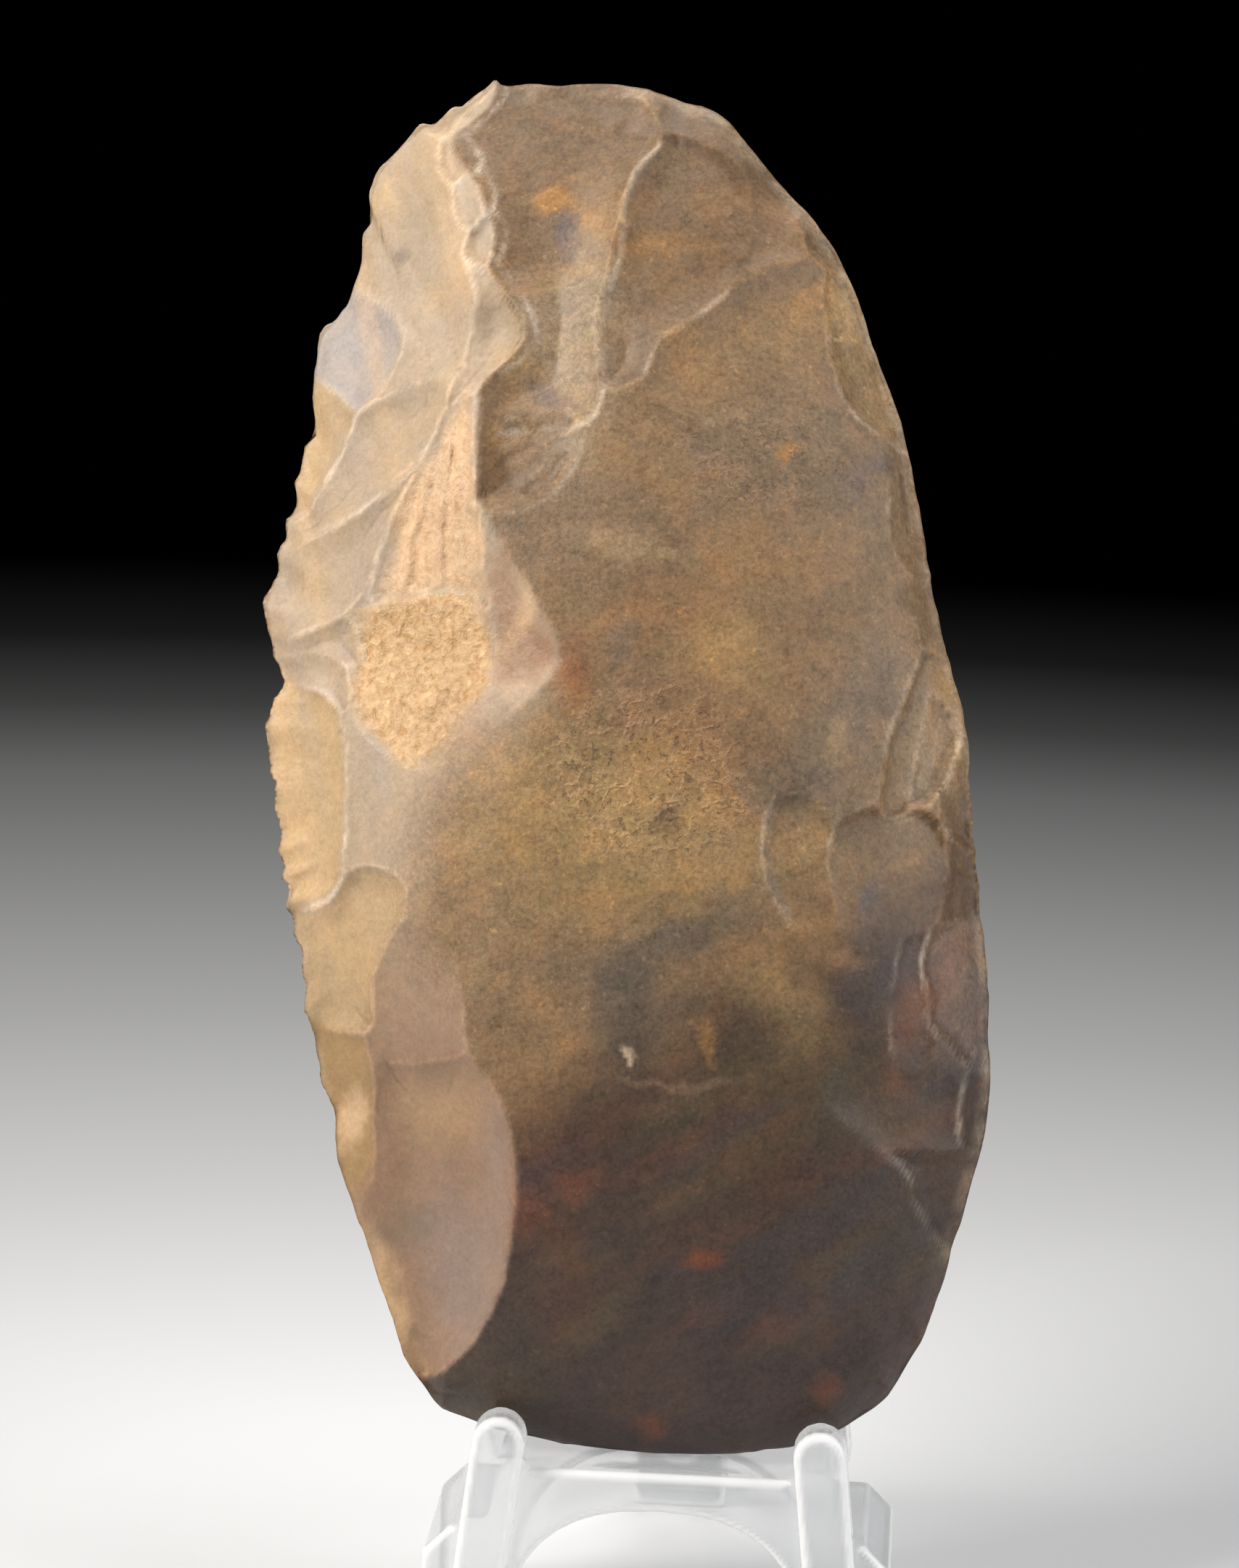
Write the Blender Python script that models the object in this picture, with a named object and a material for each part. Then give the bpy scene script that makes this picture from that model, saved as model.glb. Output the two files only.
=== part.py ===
"""A knapped flint hand axe that leans on a clear plastic easel.

Metres, +Z up, front towards -Y. The origin is under the middle of the whole model, on the
surface that the easel stands on.
"""
from collections import namedtuple
from math import cos, pi, radians, sin, tan

import bmesh
import bpy
import numpy as np
from mathutils import Matrix, Vector

MM = 0.001
GAP = 0.3 * MM                  # clearance between touching pieces

# The axe. Its outline and scars are drawn in millimetres for a stone DRAWN_LENGTH long.
AXE_LENGTH = 136.3 * MM
DRAWN_LENGTH = 136.3
FRONT_RISE = 15.5 * MM          # how far each face swells out of the plane of the rim
BACK_RISE = 13.5 * MM
RIM_WAVE = 1.0 * MM             # how far the edge weaves in and out of its plane
BEYOND_CREST = 0.7              # how fast the flank's own surface would climb past the crest
RIM_POINTS = 116
RINGS = 17
RING_SPACING = 0.8              # below 1 the rings are closer together near the rim

# How the axe stands
LEAN = radians(14.0)
LEDGE_HEIGHT = 19.7 * MM

# The front of the easel
PRONG_SPREAD = 32.0 * MM        # between the middles of the prongs, at the ledge
PRONG_WIDTH = 5.2 * MM
PRONG_DEPTH = 5.0 * MM
PRONG_RISE = 5.6 * MM           # of the tips above the ledge
PRONG_SPLAY = radians(6.5)      # outwards, going down
BRIDGE_WIDTH = 46.0 * MM
SHOULDER_HEIGHT = 13.4 * MM
SHOULDER_CHAMFER = 2.6 * MM
ARCH_WIDTH = 30.0 * MM
ARCH_HEIGHT = 15.8 * MM
ARCH_POWER = 2.5                # 2 is an ellipse; more is squarer
EDGE_ROUND = 0.5 * MM

# The back rest, a framed plate parallel to the axe
REST_LENGTH = 48.0 * MM         # above the ledge, along the lean
REST_WIDTH_LOW = 38.0 * MM
REST_WIDTH_TOP = 24.0 * MM
REST_THICKNESS = 3.6 * MM
REST_BAR = 5.0 * MM
REST_MID_BAR = 28.0 * MM        # height of the middle bar above the ledge
CORNER = 3.0 * MM

# The rear leg
LEG_WIDTH = 10.0 * MM
LEG_THICKNESS = 3.2 * MM
LEG_SLOT = 3.4 * MM
LEG_ANGLE = radians(58.0)       # from the table
FOOT_LENGTH = 6.5 * MM
FOOT_HEIGHT = 3.3 * MM

FLINT = (0.46, 0.36, 0.26, 1.0)
CLEAR_PLASTIC = (0.93, 0.94, 0.95, 1.0)

# The outline, clockwise from the top left; u runs across from the easel's middle, v up.
OUTLINE = [
    (-23.0, 136.3), (-18.0, 135.9), (-13.0, 136.2), (-7.5, 136.0), (-3.5, 134.9), (0.2, 133.2),
    (3.0, 130.1), (7.5, 125.4), (11.2, 121.2), (14.2, 115.4), (16.6, 109.4), (19.1, 102.8),
    (20.9, 96.0), (22.6, 88.0), (24.5, 80.5), (27.0, 72.3), (28.0, 63.0), (29.1, 55.0),
    (30.4, 46.0), (30.7, 38.0), (30.0, 30.3), (27.6, 20.0), (24.6, 11.3), (20.5, 5.2),
    (13.1, 1.3), (5.0, 0.2), (-3.0, 0.0), (-11.0, 0.6), (-18.5, 2.1), (-23.7, 4.5),
    (-27.2, 10.8), (-30.2, 19.3), (-33.6, 28.0), (-36.5, 38.0), (-39.6, 51.3), (-41.7, 62.0),
    (-42.8, 71.4), (-42.4, 77.0), (-43.6, 82.5), (-42.2, 88.8), (-41.0, 96.5), (-39.9, 108.8),
    (-37.2, 113.3), (-35.4, 118.0), (-35.3, 124.4), (-32.8, 129.0), (-27.6, 133.8),
]
CENTRE = np.array((-10.0, 68.0))
# The crest between the steep left flank and the broad front, from the toe up
CREST = [
    (-25.5, 0.0), (-24.2, 5.2), (-21.5, 7.3), (-18.0, 11.2), (-16.2, 15.5), (-15.3, 20.5),
    (-15.2, 28.0), (-16.6, 33.5), (-19.8, 38.0), (-21.0, 44.0), (-22.0, 52.0), (-21.0, 62.0),
    (-17.5, 70.0), (-13.0, 76.5), (-15.2, 81.5), (-17.4, 85.3), (-20.0, 89.5), (-21.9, 92.6),
    (-22.1, 100.0), (-22.2, 103.4), (-20.0, 106.0), (-18.3, 109.2), (-20.6, 113.0),
    (-22.0, 115.6), (-21.7, 119.4), (-23.0, 122.6), (-24.3, 125.0), (-26.9, 129.2),
    (-25.0, 131.8), (-23.3, 134.0), (-23.0, 137.0),
]
CREST_SOFT = (40.0, 50.0, 72.0, 80.0)   # the crest fades out between these heights

# A flake scar: its depth, how far in from its border the floor is reached, how the depth leans
# across and up the stone (1 takes it from nothing to double), and its border. A side that runs
# out over the rim is drawn past it, and neighbours overlap, so that they meet in a ridge.
Flake = namedtuple("Flake", "deep ramp across along border")
FLANK_FLAKES = [
    Flake(1.5, 9.0, -0.3, 0, [(-37, 115), (-31, 110), (-24, 104), (-23.2, 112), (-25.6, 124),
                              (-28, 129.5), (-31, 133), (-38, 128)]),
    Flake(1.5, 3.0, 0.3, 0, [(-24.6, 116), (-22, 116.5), (-17, 109.4), (-20.5, 104.5),
                             (-24.5, 103)]),
    Flake(1.2, 2.5, 0, 0, [(-33, 133), (-28.5, 129.6), (-26.4, 129.8), (-22, 134.5), (-23, 138)]),
    Flake(1.4, 4.0, 0, 0, [(-42, 112), (-37, 114.6), (-33, 113), (-30.5, 108.5), (-33, 102.5),
                           (-39.6, 105), (-44, 107)]),
    Flake(1.3, 2.5, 0, 0, [(-43, 104.5), (-39.8, 105.6), (-35, 101.2), (-38, 95), (-40, 91.5),
                           (-44, 96)]),
    Flake(1.2, 3.5, -0.2, 0, [(-45, 92.5), (-40.5, 91), (-34.5, 101.5), (-26, 104.5), (-26.5, 99),
                              (-33, 92), (-38, 88.5), (-45, 86)]),
    Flake(1.1, 3.0, -0.2, 0, [(-45, 88), (-39, 89), (-30, 94), (-23, 103.5), (-31, 89.5),
                              (-34, 82), (-41, 79), (-46, 80)]),
    Flake(1.0, 2.4, 0, 0, [(-46, 81), (-34.5, 80.5), (-33, 76), (-35.5, 72), (-45, 72)]),
    Flake(0.8, 1.6, 0, 0, [(-23.5, 104), (-29.5, 93), (-34, 82.3), (-34.4, 77), (-31, 68),
                           (-26, 65.3), (-22.5, 69.5), (-19.6, 75), (-20.8, 86)]),
    Flake(1.7, 2.8, 0, 0, [(-45, 74.5), (-36.3, 73.2), (-34.1, 66), (-33.6, 55.4), (-37.2, 52.2),
                           (-44, 51)]),
    Flake(1.6, 2.8, 0, 0, [(-44, 53), (-38, 51.8), (-33.2, 55.7), (-28, 55.3), (-26.8, 52.5),
                           (-29.8, 45), (-29.7, 40.6), (-41, 40)]),
    Flake(1.3, 2.8, 0, 0, [(-41, 41), (-30.8, 39.6), (-29.2, 30), (-29.5, 24.5), (-36, 21)]),
    Flake(0.9, 3.0, 0, 0, [(-30.4, 47), (-27.3, 51), (-23, 50.2), (-20.6, 43), (-21, 37),
                           (-30.3, 36.5)]),
    Flake(2.0, 6.0, 0.1, 0, [(-30, 37.6), (-20.8, 38.9), (-16.2, 32.6), (-15, 24), (-16.4, 14.2),
                             (-21.6, 7.2), (-26, 4), (-31, 10), (-36, 20), (-30.2, 27)]),
]
FRONT_FLAKES = [
    Flake(2.8, 6.5, 0, 0, [(-30, 134), (-26.5, 127), (-23, 114), (-19, 109.5), (-22.6, 103.5),
                           (-20, 99), (-12.2, 99.6), (-10.1, 103), (-10.8, 110), (-9.2, 122),
                           (-5.6, 130.2), (-9, 135), (-16, 139), (-24, 139)]),
    Flake(2.0, 5.0, 0, 0, [(-25, 139), (-24.5, 131.5), (-12.8, 130.8), (-7, 139)]),
    Flake(1.6, 4.0, -0.6, -0.2, [(-24, 102.8), (-24, 92), (-17, 91.2), (-11.6, 98), (-13, 101),
                                 (-18, 102.8)]),
    Flake(1.1, 3.4, -0.7, 0, [(-9.8, 120), (-9.6, 124), (-5.6, 130.8), (1.5, 127), (3.5, 122),
                              (0, 118.6), (-9.4, 117.4)]),
    Flake(1.2, 3.6, -0.5, 0, [(-11.4, 112), (-10.2, 118.6), (1, 118.8), (3.5, 116.5), (-4, 109.2),
                              (-6.4, 104.4), (-10.6, 103.5)]),
    Flake(1.0, 3.5, 0, 0.4, [(-6.6, 130.5), (-4.4, 137), (4, 134), (7, 127), (3, 124.5),
                             (0, 128)]),
    Flake(0.7, 4.0, -0.4, 0.3, [(-4.6, 108), (1.6, 114), (6, 117.6), (11.6, 117.2), (12, 106),
                                (10, 101.5), (-1, 101), (-5.8, 103.6)]),
    Flake(1.5, 2.4, 0, 0, [(9, 121.6), (14, 124), (20, 108), (22, 99), (17.6, 101), (12.2, 107.2),
                           (10.9, 116)]),
    Flake(0.9, 1.8, 0, 0, [(18.4, 99.5), (18.5, 90.8), (20.9, 86), (22.4, 79.8), (27, 77),
                           (25, 100)]),
    Flake(2.0, 3.5, -0.2, 0, [(22.4, 80.2), (19.3, 71), (18.7, 63.2), (21, 62.8), (26, 70),
                              (27, 79)]),
    Flake(1.8, 3.0, 0, 0, [(24.2, 76.6), (26.4, 71.2), (24.6, 65.6), (26, 61), (33, 60),
                           (32, 78)]),
    Flake(0.9, 2.6, 0, 0.95, [(14, 60), (15, 62.6), (17.6, 64), (22.6, 64.4), (26, 58), (20, 50),
                              (13.8, 57)]),
    Flake(1.2, 2.4, 0, 0, [(24, 51.8), (23.4, 48.6), (24.2, 43.6), (29, 39.5), (34, 39),
                           (34, 54)]),
    Flake(0.7, 3.5, 0.3, -0.7, [(14.8, 35.6), (20.4, 30.4), (28.4, 31), (26, 39), (16, 41)]),
    Flake(1.0, 2.4, 0, 0, [(20.6, 30.6), (23.9, 25.8), (27, 21.2), (31, 20), (33, 30)]),
]
# The back is plainer: even scars struck inwards from the rim, worked out by a loop.
BACK_FLAKES = 11
BACK_FLAKE_DEPTH = 2.2
BACK_FLAKE_END = 0.38           # how near the middle they end, as a share of the reach


def smooth_curve(points, closed, per_span=24):
    """Catmull-Rom curve through the points."""
    p = np.array(points, float)
    t = np.linspace(0.0, 1.0, per_span, endpoint=False)[:, None]
    count = len(p)
    spans = []
    for i in range(count if closed else count - 1):
        if closed:
            a, b, c, d = p[i - 1], p[i], p[(i + 1) % count], p[(i + 2) % count]
        else:
            a, b, c, d = p[max(i - 1, 0)], p[i], p[i + 1], p[min(i + 2, count - 1)]
        spans.append(0.5 * (2 * b + (c - a) * t + (2 * a - 5 * b + 4 * c - d) * t ** 2
                            + (3 * b - a - 3 * c + d) * t ** 3))
    return np.concatenate(spans)


def smoothstep(x, low, high):
    t = np.clip((x - low) / (high - low), 0.0, 1.0)
    return t * t * (3.0 - 2.0 * t)


def inside_by(u, v, border):
    """How far inside a closed border each point lies, and nothing outside it."""
    best = np.full(u.shape, np.inf)
    inside = np.zeros(u.shape, bool)
    for i in range(len(border)):
        ax, ay, bx, by = *border[i - 1], *border[i]
        dx, dy = bx - ax, by - ay
        t = np.clip(((u - ax) * dx + (v - ay) * dy) / (dx * dx + dy * dy), 0.0, 1.0)
        best = np.minimum(best, np.hypot(u - ax - t * dx, v - ay - t * dy))
        if ay != by:
            inside ^= ((ay > v) != (by > v)) & (u < dx * (v - ay) / dy + ax)
    return best * inside


def deepest_cut(u, v, flakes):
    depth = np.zeros_like(u)
    for flake in flakes:
        border = smooth_curve(flake.border, closed=True, per_span=6)
        middle = (border.min(axis=0) + border.max(axis=0)) / 2
        half = (border.max(axis=0) - border.min(axis=0)) / 2
        inward = np.clip(inside_by(u, v, border) / flake.ramp, 0.0, 1.0)
        lean = (1.0 + flake.across * (u - middle[0]) / half[0]
                + flake.along * (v - middle[1]) / half[1])
        depth = np.maximum(depth, flake.deep * (1.0 - (1.0 - inward) ** 2)
                           * np.clip(lean, 0.0, 2.0))
    return depth


class AxeShape:
    """The two faces of the axe as heights over its rim plane, in drawn millimetres."""

    def __init__(self):
        self.scale = AXE_LENGTH / DRAWN_LENGTH
        self.front_rise = FRONT_RISE / self.scale
        self.back_rise = BACK_RISE / self.scale
        self.rim_wave = RIM_WAVE / self.scale
        self.rim = smooth_curve(OUTLINE, closed=True)
        arms = self.rim - CENTRE
        angle = np.arctan2(arms[:, 1], arms[:, 0])
        order = np.argsort(angle)
        self.angle = angle[order]
        self.reach = np.hypot(arms[:, 0], arms[:, 1])[order]
        # the same outline without its small waves, which swell the faces
        self.even_angle = np.linspace(-pi, pi, 720, endpoint=False)
        waves = np.fft.rfft(self.rim_reach(self.even_angle))
        waves[14:] = 0.0
        easy = np.fft.irfft(waves, len(self.even_angle))
        self.easy = easy * (self.rim_reach(self.even_angle) / easy).max()
        crest = smooth_curve(CREST, closed=False)
        self.crest_u, self.crest_v = crest[:, 0], crest[:, 1]
        left = self.rim[self.rim[:, 0] < CREST[0][0]]
        left = left[np.argsort(left[:, 1])]
        self.left_v = np.arange(0.0, DRAWN_LENGTH + 1.0)
        window = np.hanning(11)
        padded = np.pad(np.interp(self.left_v, left[:, 1], left[:, 0]), len(window) // 2, "edge")
        self.left_u = np.convolve(padded, window / window.sum(), "valid")

    def rim_reach(self, angle):
        return np.interp(angle, self.angle, self.reach, period=2 * pi)

    def easy_reach(self, angle):
        return np.interp(angle, self.even_angle, self.easy, period=2 * pi)

    def spread(self, u, v):
        """Angle round the centre, and the share of the way out to the rim and to the easy rim."""
        du, dv = u - CENTRE[0], v - CENTRE[1]
        angle = np.arctan2(dv, du)
        out = np.hypot(du, dv)
        rim_share = np.clip(out / self.rim_reach(angle), 0.0, 1.0)
        easy_share = out / self.easy_reach(angle)
        return angle, rim_share, np.clip(easy_share, 0.0, 1.0)

    def dome(self, share, rise, power, shoulder):
        return rise * (1.0 - share ** power) ** shoulder

    def front(self, u, v):
        """The broad front and the steep left flank, whichever is lower, less their scars."""
        angle, rim_share, easy_share = self.spread(u, v)
        broad = self.dome(easy_share, self.front_rise, 2.5, 0.75)
        crest_u = np.interp(v, self.crest_v, self.crest_u)
        crest_share = self.spread(crest_u, v)[2]
        left_u = np.interp(v, self.left_v, self.left_u)
        climb = np.clip((u - left_u) / np.maximum(crest_u - left_u, 1.0), 0.0, 1.0)
        flank = (self.dome(crest_share, self.front_rise, 2.5, 0.75) * climb ** 0.85
                 + np.maximum(u - crest_u, 0.0) * BEYOND_CREST)
        flank = flank - deepest_cut(u, v, FLANK_FLAKES) * np.clip(climb * 3.0, 0.0, 1.0)
        broad = broad - np.minimum(deepest_cut(u, v, FRONT_FLAKES), 0.75 * broad)
        a, b, c, d = CREST_SOFT
        soft = 0.12 + 2.5 * smoothstep(v, a, b) * (1.0 - smoothstep(v, c, d))
        share = np.clip(0.5 - 0.5 * (flank - broad) / soft, 0.0, 1.0)
        lower = broad * (1.0 - share) + flank * share - soft * share * (1.0 - share)
        return np.maximum(lower, 0.0) * self.closing(angle, rim_share)

    def back(self, u, v):
        """A plainer swell, with scars struck inwards from the rim."""
        angle, rim_share, easy_share = self.spread(u, v)
        swell = self.dome(easy_share, self.back_rise, 2.0, 0.8)
        depth = np.minimum(deepest_cut(u, v, self.back_flakes()), 0.7 * swell)
        return (swell - depth) * self.closing(angle, rim_share)

    def back_flakes(self):
        flakes = []
        for i in range(BACK_FLAKES):
            middle = 2 * pi * (i + 0.3 * sin(2.4 * i + BACK_FLAKES)) / BACK_FLAKES
            half = 1.25 * pi / BACK_FLAKES * (1.0 + 0.25 * sin(3.7 * i))
            end = BACK_FLAKE_END * (1.0 + 0.5 * sin(5.1 * i + 1.0))
            border = []
            for turn, share in ((-1.1, 1.12), (0.0, 1.2), (1.1, 1.12), (0.9, 0.75),
                                (0.45, end + 0.1), (0.0, end), (-0.45, end + 0.1), (-0.9, 0.75)):
                angle = middle + turn * half
                out = share * float(self.easy_reach(angle))
                border.append((CENTRE[0] + out * cos(angle), CENTRE[1] + out * sin(angle)))
            deep = BACK_FLAKE_DEPTH * (1.0 + 0.2 * sin(3.1 * i))
            flakes.append(Flake(deep, 10.0, 0, 0, border))
        return flakes

    def closing(self, angle, rim_share):
        """Brings a face down to the edge over the last few millimetres."""
        from_rim = (1.0 - rim_share) * self.rim_reach(angle)
        return np.clip(from_rim / 2.5, 0.0, 1.0) ** 0.5

    def weave(self, angle, rim_share):
        return self.rim_wave * rim_share ** 3 * (np.sin(2 * angle + 0.6) + 0.5 * np.sin(5 * angle))

    def rim_angles(self, count):
        """Angles of points evenly spaced along the rim."""
        loop = np.vstack([self.rim, self.rim[:1]])
        run = np.concatenate([[0.0], np.cumsum(np.hypot(*np.diff(loop, axis=0).T))])
        at = np.linspace(0.0, run[-1], count, endpoint=False)
        points = np.stack([np.interp(at, run, loop[:, k]) for k in (0, 1)], -1) - CENTRE
        angle = np.arctan2(points[:, 1], points[:, 0])
        return angle[::-1]

    def mesh(self):
        """Rings from the middle of each face out to the shared rim, as points and faces."""
        angle = self.rim_angles(RIM_POINTS)
        reach = self.rim_reach(angle)
        shares = np.linspace(0.0, 1.0, RINGS + 1)[1:] ** RING_SPACING
        ring_angle = np.tile(angle, (RINGS, 1))
        out = shares[:, None] * reach[None, :]
        u = CENTRE[0] + out * np.cos(ring_angle)
        v = CENTRE[1] + out * np.sin(ring_angle)
        weave = self.weave(ring_angle, np.tile(shares[:, None], (1, RIM_POINTS)))
        front = np.stack([u, v, weave + self.front(u, v)], -1)
        back = np.stack([u, v, weave - self.back(u, v)], -1)
        front[-1, :, 2] = weave[-1]
        middle = [np.array([[CENTRE[0], CENTRE[1], sign * face(*CENTRE[:, None])[0]]])
                  for sign, face in ((1.0, self.front), (-1.0, self.back))]
        points = np.concatenate([front.reshape(-1, 3), back[:-1].reshape(-1, 3), *middle])
        n = RIM_POINTS
        back_start = RINGS * n
        front_middle, back_middle = len(points) - 2, len(points) - 1
        faces = []
        for j in range(n):
            k = (j + 1) % n
            faces.append((front_middle, j, k))
            faces.append((back_middle, back_start + k, back_start + j))
            for i in range(RINGS - 1):
                a, b = i * n, (i + 1) * n
                faces.append((a + j, b + j, b + k))
                faces.append((a + j, b + k, a + k))
                c = back_start + i * n
                d = c + n if i < RINGS - 2 else (RINGS - 1) * n
                faces.append((c + j, d + k, d + j))
                faces.append((c + j, c + k, d + k))
        return points * self.scale, faces


def lean_matrix(foot_height):
    """From the axe's own u, v, w to the world: leaning back, with w towards the front."""
    rows = ((1.0, 0.0, 0.0, 0.0),
            (0.0, sin(LEAN), -cos(LEAN), 0.0),
            (0.0, cos(LEAN), sin(LEAN), foot_height),
            (0.0, 0.0, 0.0, 1.0))
    return Matrix(rows)


def object_from(name, points, faces):
    mesh = bpy.data.meshes.new(name)
    mesh.from_pydata([tuple(p) for p in points], [], faces)
    piece = bpy.data.objects.new(name, mesh)
    bpy.context.scene.collection.objects.link(piece)
    return piece


def make_axe():
    """The axe, set so that its lowest point clears the ledge."""
    points, faces = AxeShape().mesh()
    leaning = lean_matrix(0.0)
    lowest = min((leaning @ Vector(p)).z for p in points)
    place = lean_matrix(LEDGE_HEIGHT + GAP - lowest)
    axe = object_from("axe", points, faces)
    axe.data.transform(place)
    return axe, place


def edge_samples(piece, per_edge=8):
    """Points along every edge, for finding how far the stone reaches."""
    ends = np.array([[piece.data.vertices[i].co for i in e.vertices] for e in piece.data.edges])
    t = np.linspace(0.0, 1.0, per_edge)[None, :, None]
    return (ends[:, :1] * (1.0 - t) + ends[:, 1:] * t).reshape(-1, 3)


def rounded(points, radius, steps=4):
    """A polygon with its corners rounded."""
    out = []
    count = len(points)
    for i in range(count):
        corner = Vector(points[i])
        before = (Vector(points[i - 1]) - corner)
        after = (Vector(points[(i + 1) % count]) - corner)
        half = before.angle(after) / 2
        cut = min(radius / tan(half), 0.45 * before.length, 0.45 * after.length)
        bend = cut * tan(half)
        middle = corner + (before.normalized() + after.normalized()).normalized() * bend / sin(half)
        start = corner + before.normalized() * cut - middle
        sweep = (corner + after.normalized() * cut - middle).angle_signed(start)
        for k in range(steps + 1):
            a = sweep * k / steps
            turned = Vector((start.x * cos(a) - start.y * sin(a), start.x * sin(a) + start.y * cos(a)))
            out.append(tuple(middle + turned))
    return out


def plate(name, loops, thickness, place, soften=EDGE_ROUND):
    """A flat plate on its own XY plane, with holes, extruded along Z and set in its place."""
    mesh = bmesh.new()
    edges = []
    for loop in loops:
        corners = [mesh.verts.new((x, y, 0.0)) for x, y in loop]
        edges += [mesh.edges.new((corners[i - 1], corners[i])) for i in range(len(corners))]
    bmesh.ops.triangle_fill(mesh, use_beauty=True, use_dissolve=False, edges=edges)
    bmesh.ops.dissolve_limit(mesh, angle_limit=radians(1.0), verts=mesh.verts, edges=mesh.edges)
    grown = bmesh.ops.extrude_face_region(mesh, geom=mesh.faces[:])
    moved = [v for v in grown["geom"] if isinstance(v, bmesh.types.BMVert)]
    bmesh.ops.translate(mesh, vec=(0.0, 0.0, thickness), verts=moved)
    bmesh.ops.recalc_face_normals(mesh, faces=mesh.faces)
    if soften:
        rims = [e for e in mesh.edges if len(e.link_faces) == 2 and e.calc_face_angle() > radians(60)
                and abs(e.verts[0].co.z - e.verts[1].co.z) < thickness / 2]
        bmesh.ops.bevel(mesh, geom=rims, offset=soften, segments=2, profile=0.5, affect="EDGES",
                        clamp_overlap=True)
    bmesh.ops.transform(mesh, matrix=place, verts=mesh.verts)
    if place.to_3x3().determinant() < 0:
        bmesh.ops.reverse_faces(mesh, faces=mesh.faces)
    bmesh.ops.triangulate(mesh, faces=mesh.faces)
    data = bpy.data.meshes.new(name)
    mesh.to_mesh(data)
    mesh.free()
    piece = bpy.data.objects.new(name, data)
    bpy.context.scene.collection.objects.link(piece)
    return piece


def upright(y):
    """Places a plate drawn in X and Z, extruded backwards from y."""
    return Matrix(((1.0, 0.0, 0.0, 0.0), (0.0, 0.0, 1.0, y), (0.0, 1.0, 0.0, 0.0),
                   (0.0, 0.0, 0.0, 1.0)))


def apply_modifiers(piece):
    evaluated = piece.evaluated_get(bpy.context.evaluated_depsgraph_get())
    data = bpy.data.meshes.new_from_object(evaluated)
    piece.modifiers.clear()
    piece.data = data


def combine(piece, other, operation="UNION"):
    modifier = piece.modifiers.new("combine", "BOOLEAN")
    modifier.operation = operation
    modifier.object = other
    apply_modifiers(piece)
    bpy.data.objects.remove(other)


def prong_middle(z):
    """Half the spread of the prongs at a height."""
    return PRONG_SPREAD / 2 + (LEDGE_HEIGHT - z) * tan(PRONG_SPLAY)


def prong_outline(side):
    """One prong from the table to its round tip, in X and Z."""
    tip = LEDGE_HEIGHT + PRONG_RISE
    half = PRONG_WIDTH / 2
    low, high = prong_middle(0.0), prong_middle(tip - half)
    points = [(low + half, 0.0)]
    steps = 10
    for i in range(steps + 1):
        a = pi * i / steps
        points.append((high + half * cos(a), tip - half + half * sin(a)))
    points.append((low - half, 0.0))
    return [(side * x, z) for x, z in points]


def bridge_outline():
    """The arched bridge, its ledge and its two feet, in X and Z."""
    half = BRIDGE_WIDTH / 2
    inner = prong_middle(LEDGE_HEIGHT)
    right = [(half, 0.0), (half, SHOULDER_HEIGHT - SHOULDER_CHAMFER),
             (half - SHOULDER_CHAMFER, SHOULDER_HEIGHT),
             (prong_middle(SHOULDER_HEIGHT), SHOULDER_HEIGHT), (inner, LEDGE_HEIGHT)]
    left = [(-x, z) for x, z in reversed(right)]
    arch = []
    steps = 20
    for i in range(steps + 1):
        a = pi * i / steps
        x = ARCH_WIDTH / 2 * abs(cos(a)) ** (2 / ARCH_POWER)
        z = ARCH_HEIGHT * sin(a) ** (2 / ARCH_POWER)
        arch.append((-x if a < pi / 2 else x, max(z, 0.0)))
    return right + left + arch


def framed_loops(low_width, top_width, length, bar, cross_bars, start):
    """A tapering frame with a window between each pair of cross bars."""
    def half_at(v):
        return (low_width + (top_width - low_width) * (v - start) / length) / 2
    top = start + length
    outer = [(-half_at(start), start), (half_at(start), start), (half_at(top), top),
             (-half_at(top), top)]
    loops = [rounded(outer, CORNER)]
    for low, high in cross_bars:
        window = [(-half_at(low) + bar, low), (half_at(low) - bar, low),
                  (half_at(high) - bar, high), (-half_at(high) + bar, high)]
        loops.append(rounded(window, CORNER / 2))
    return loops


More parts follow.
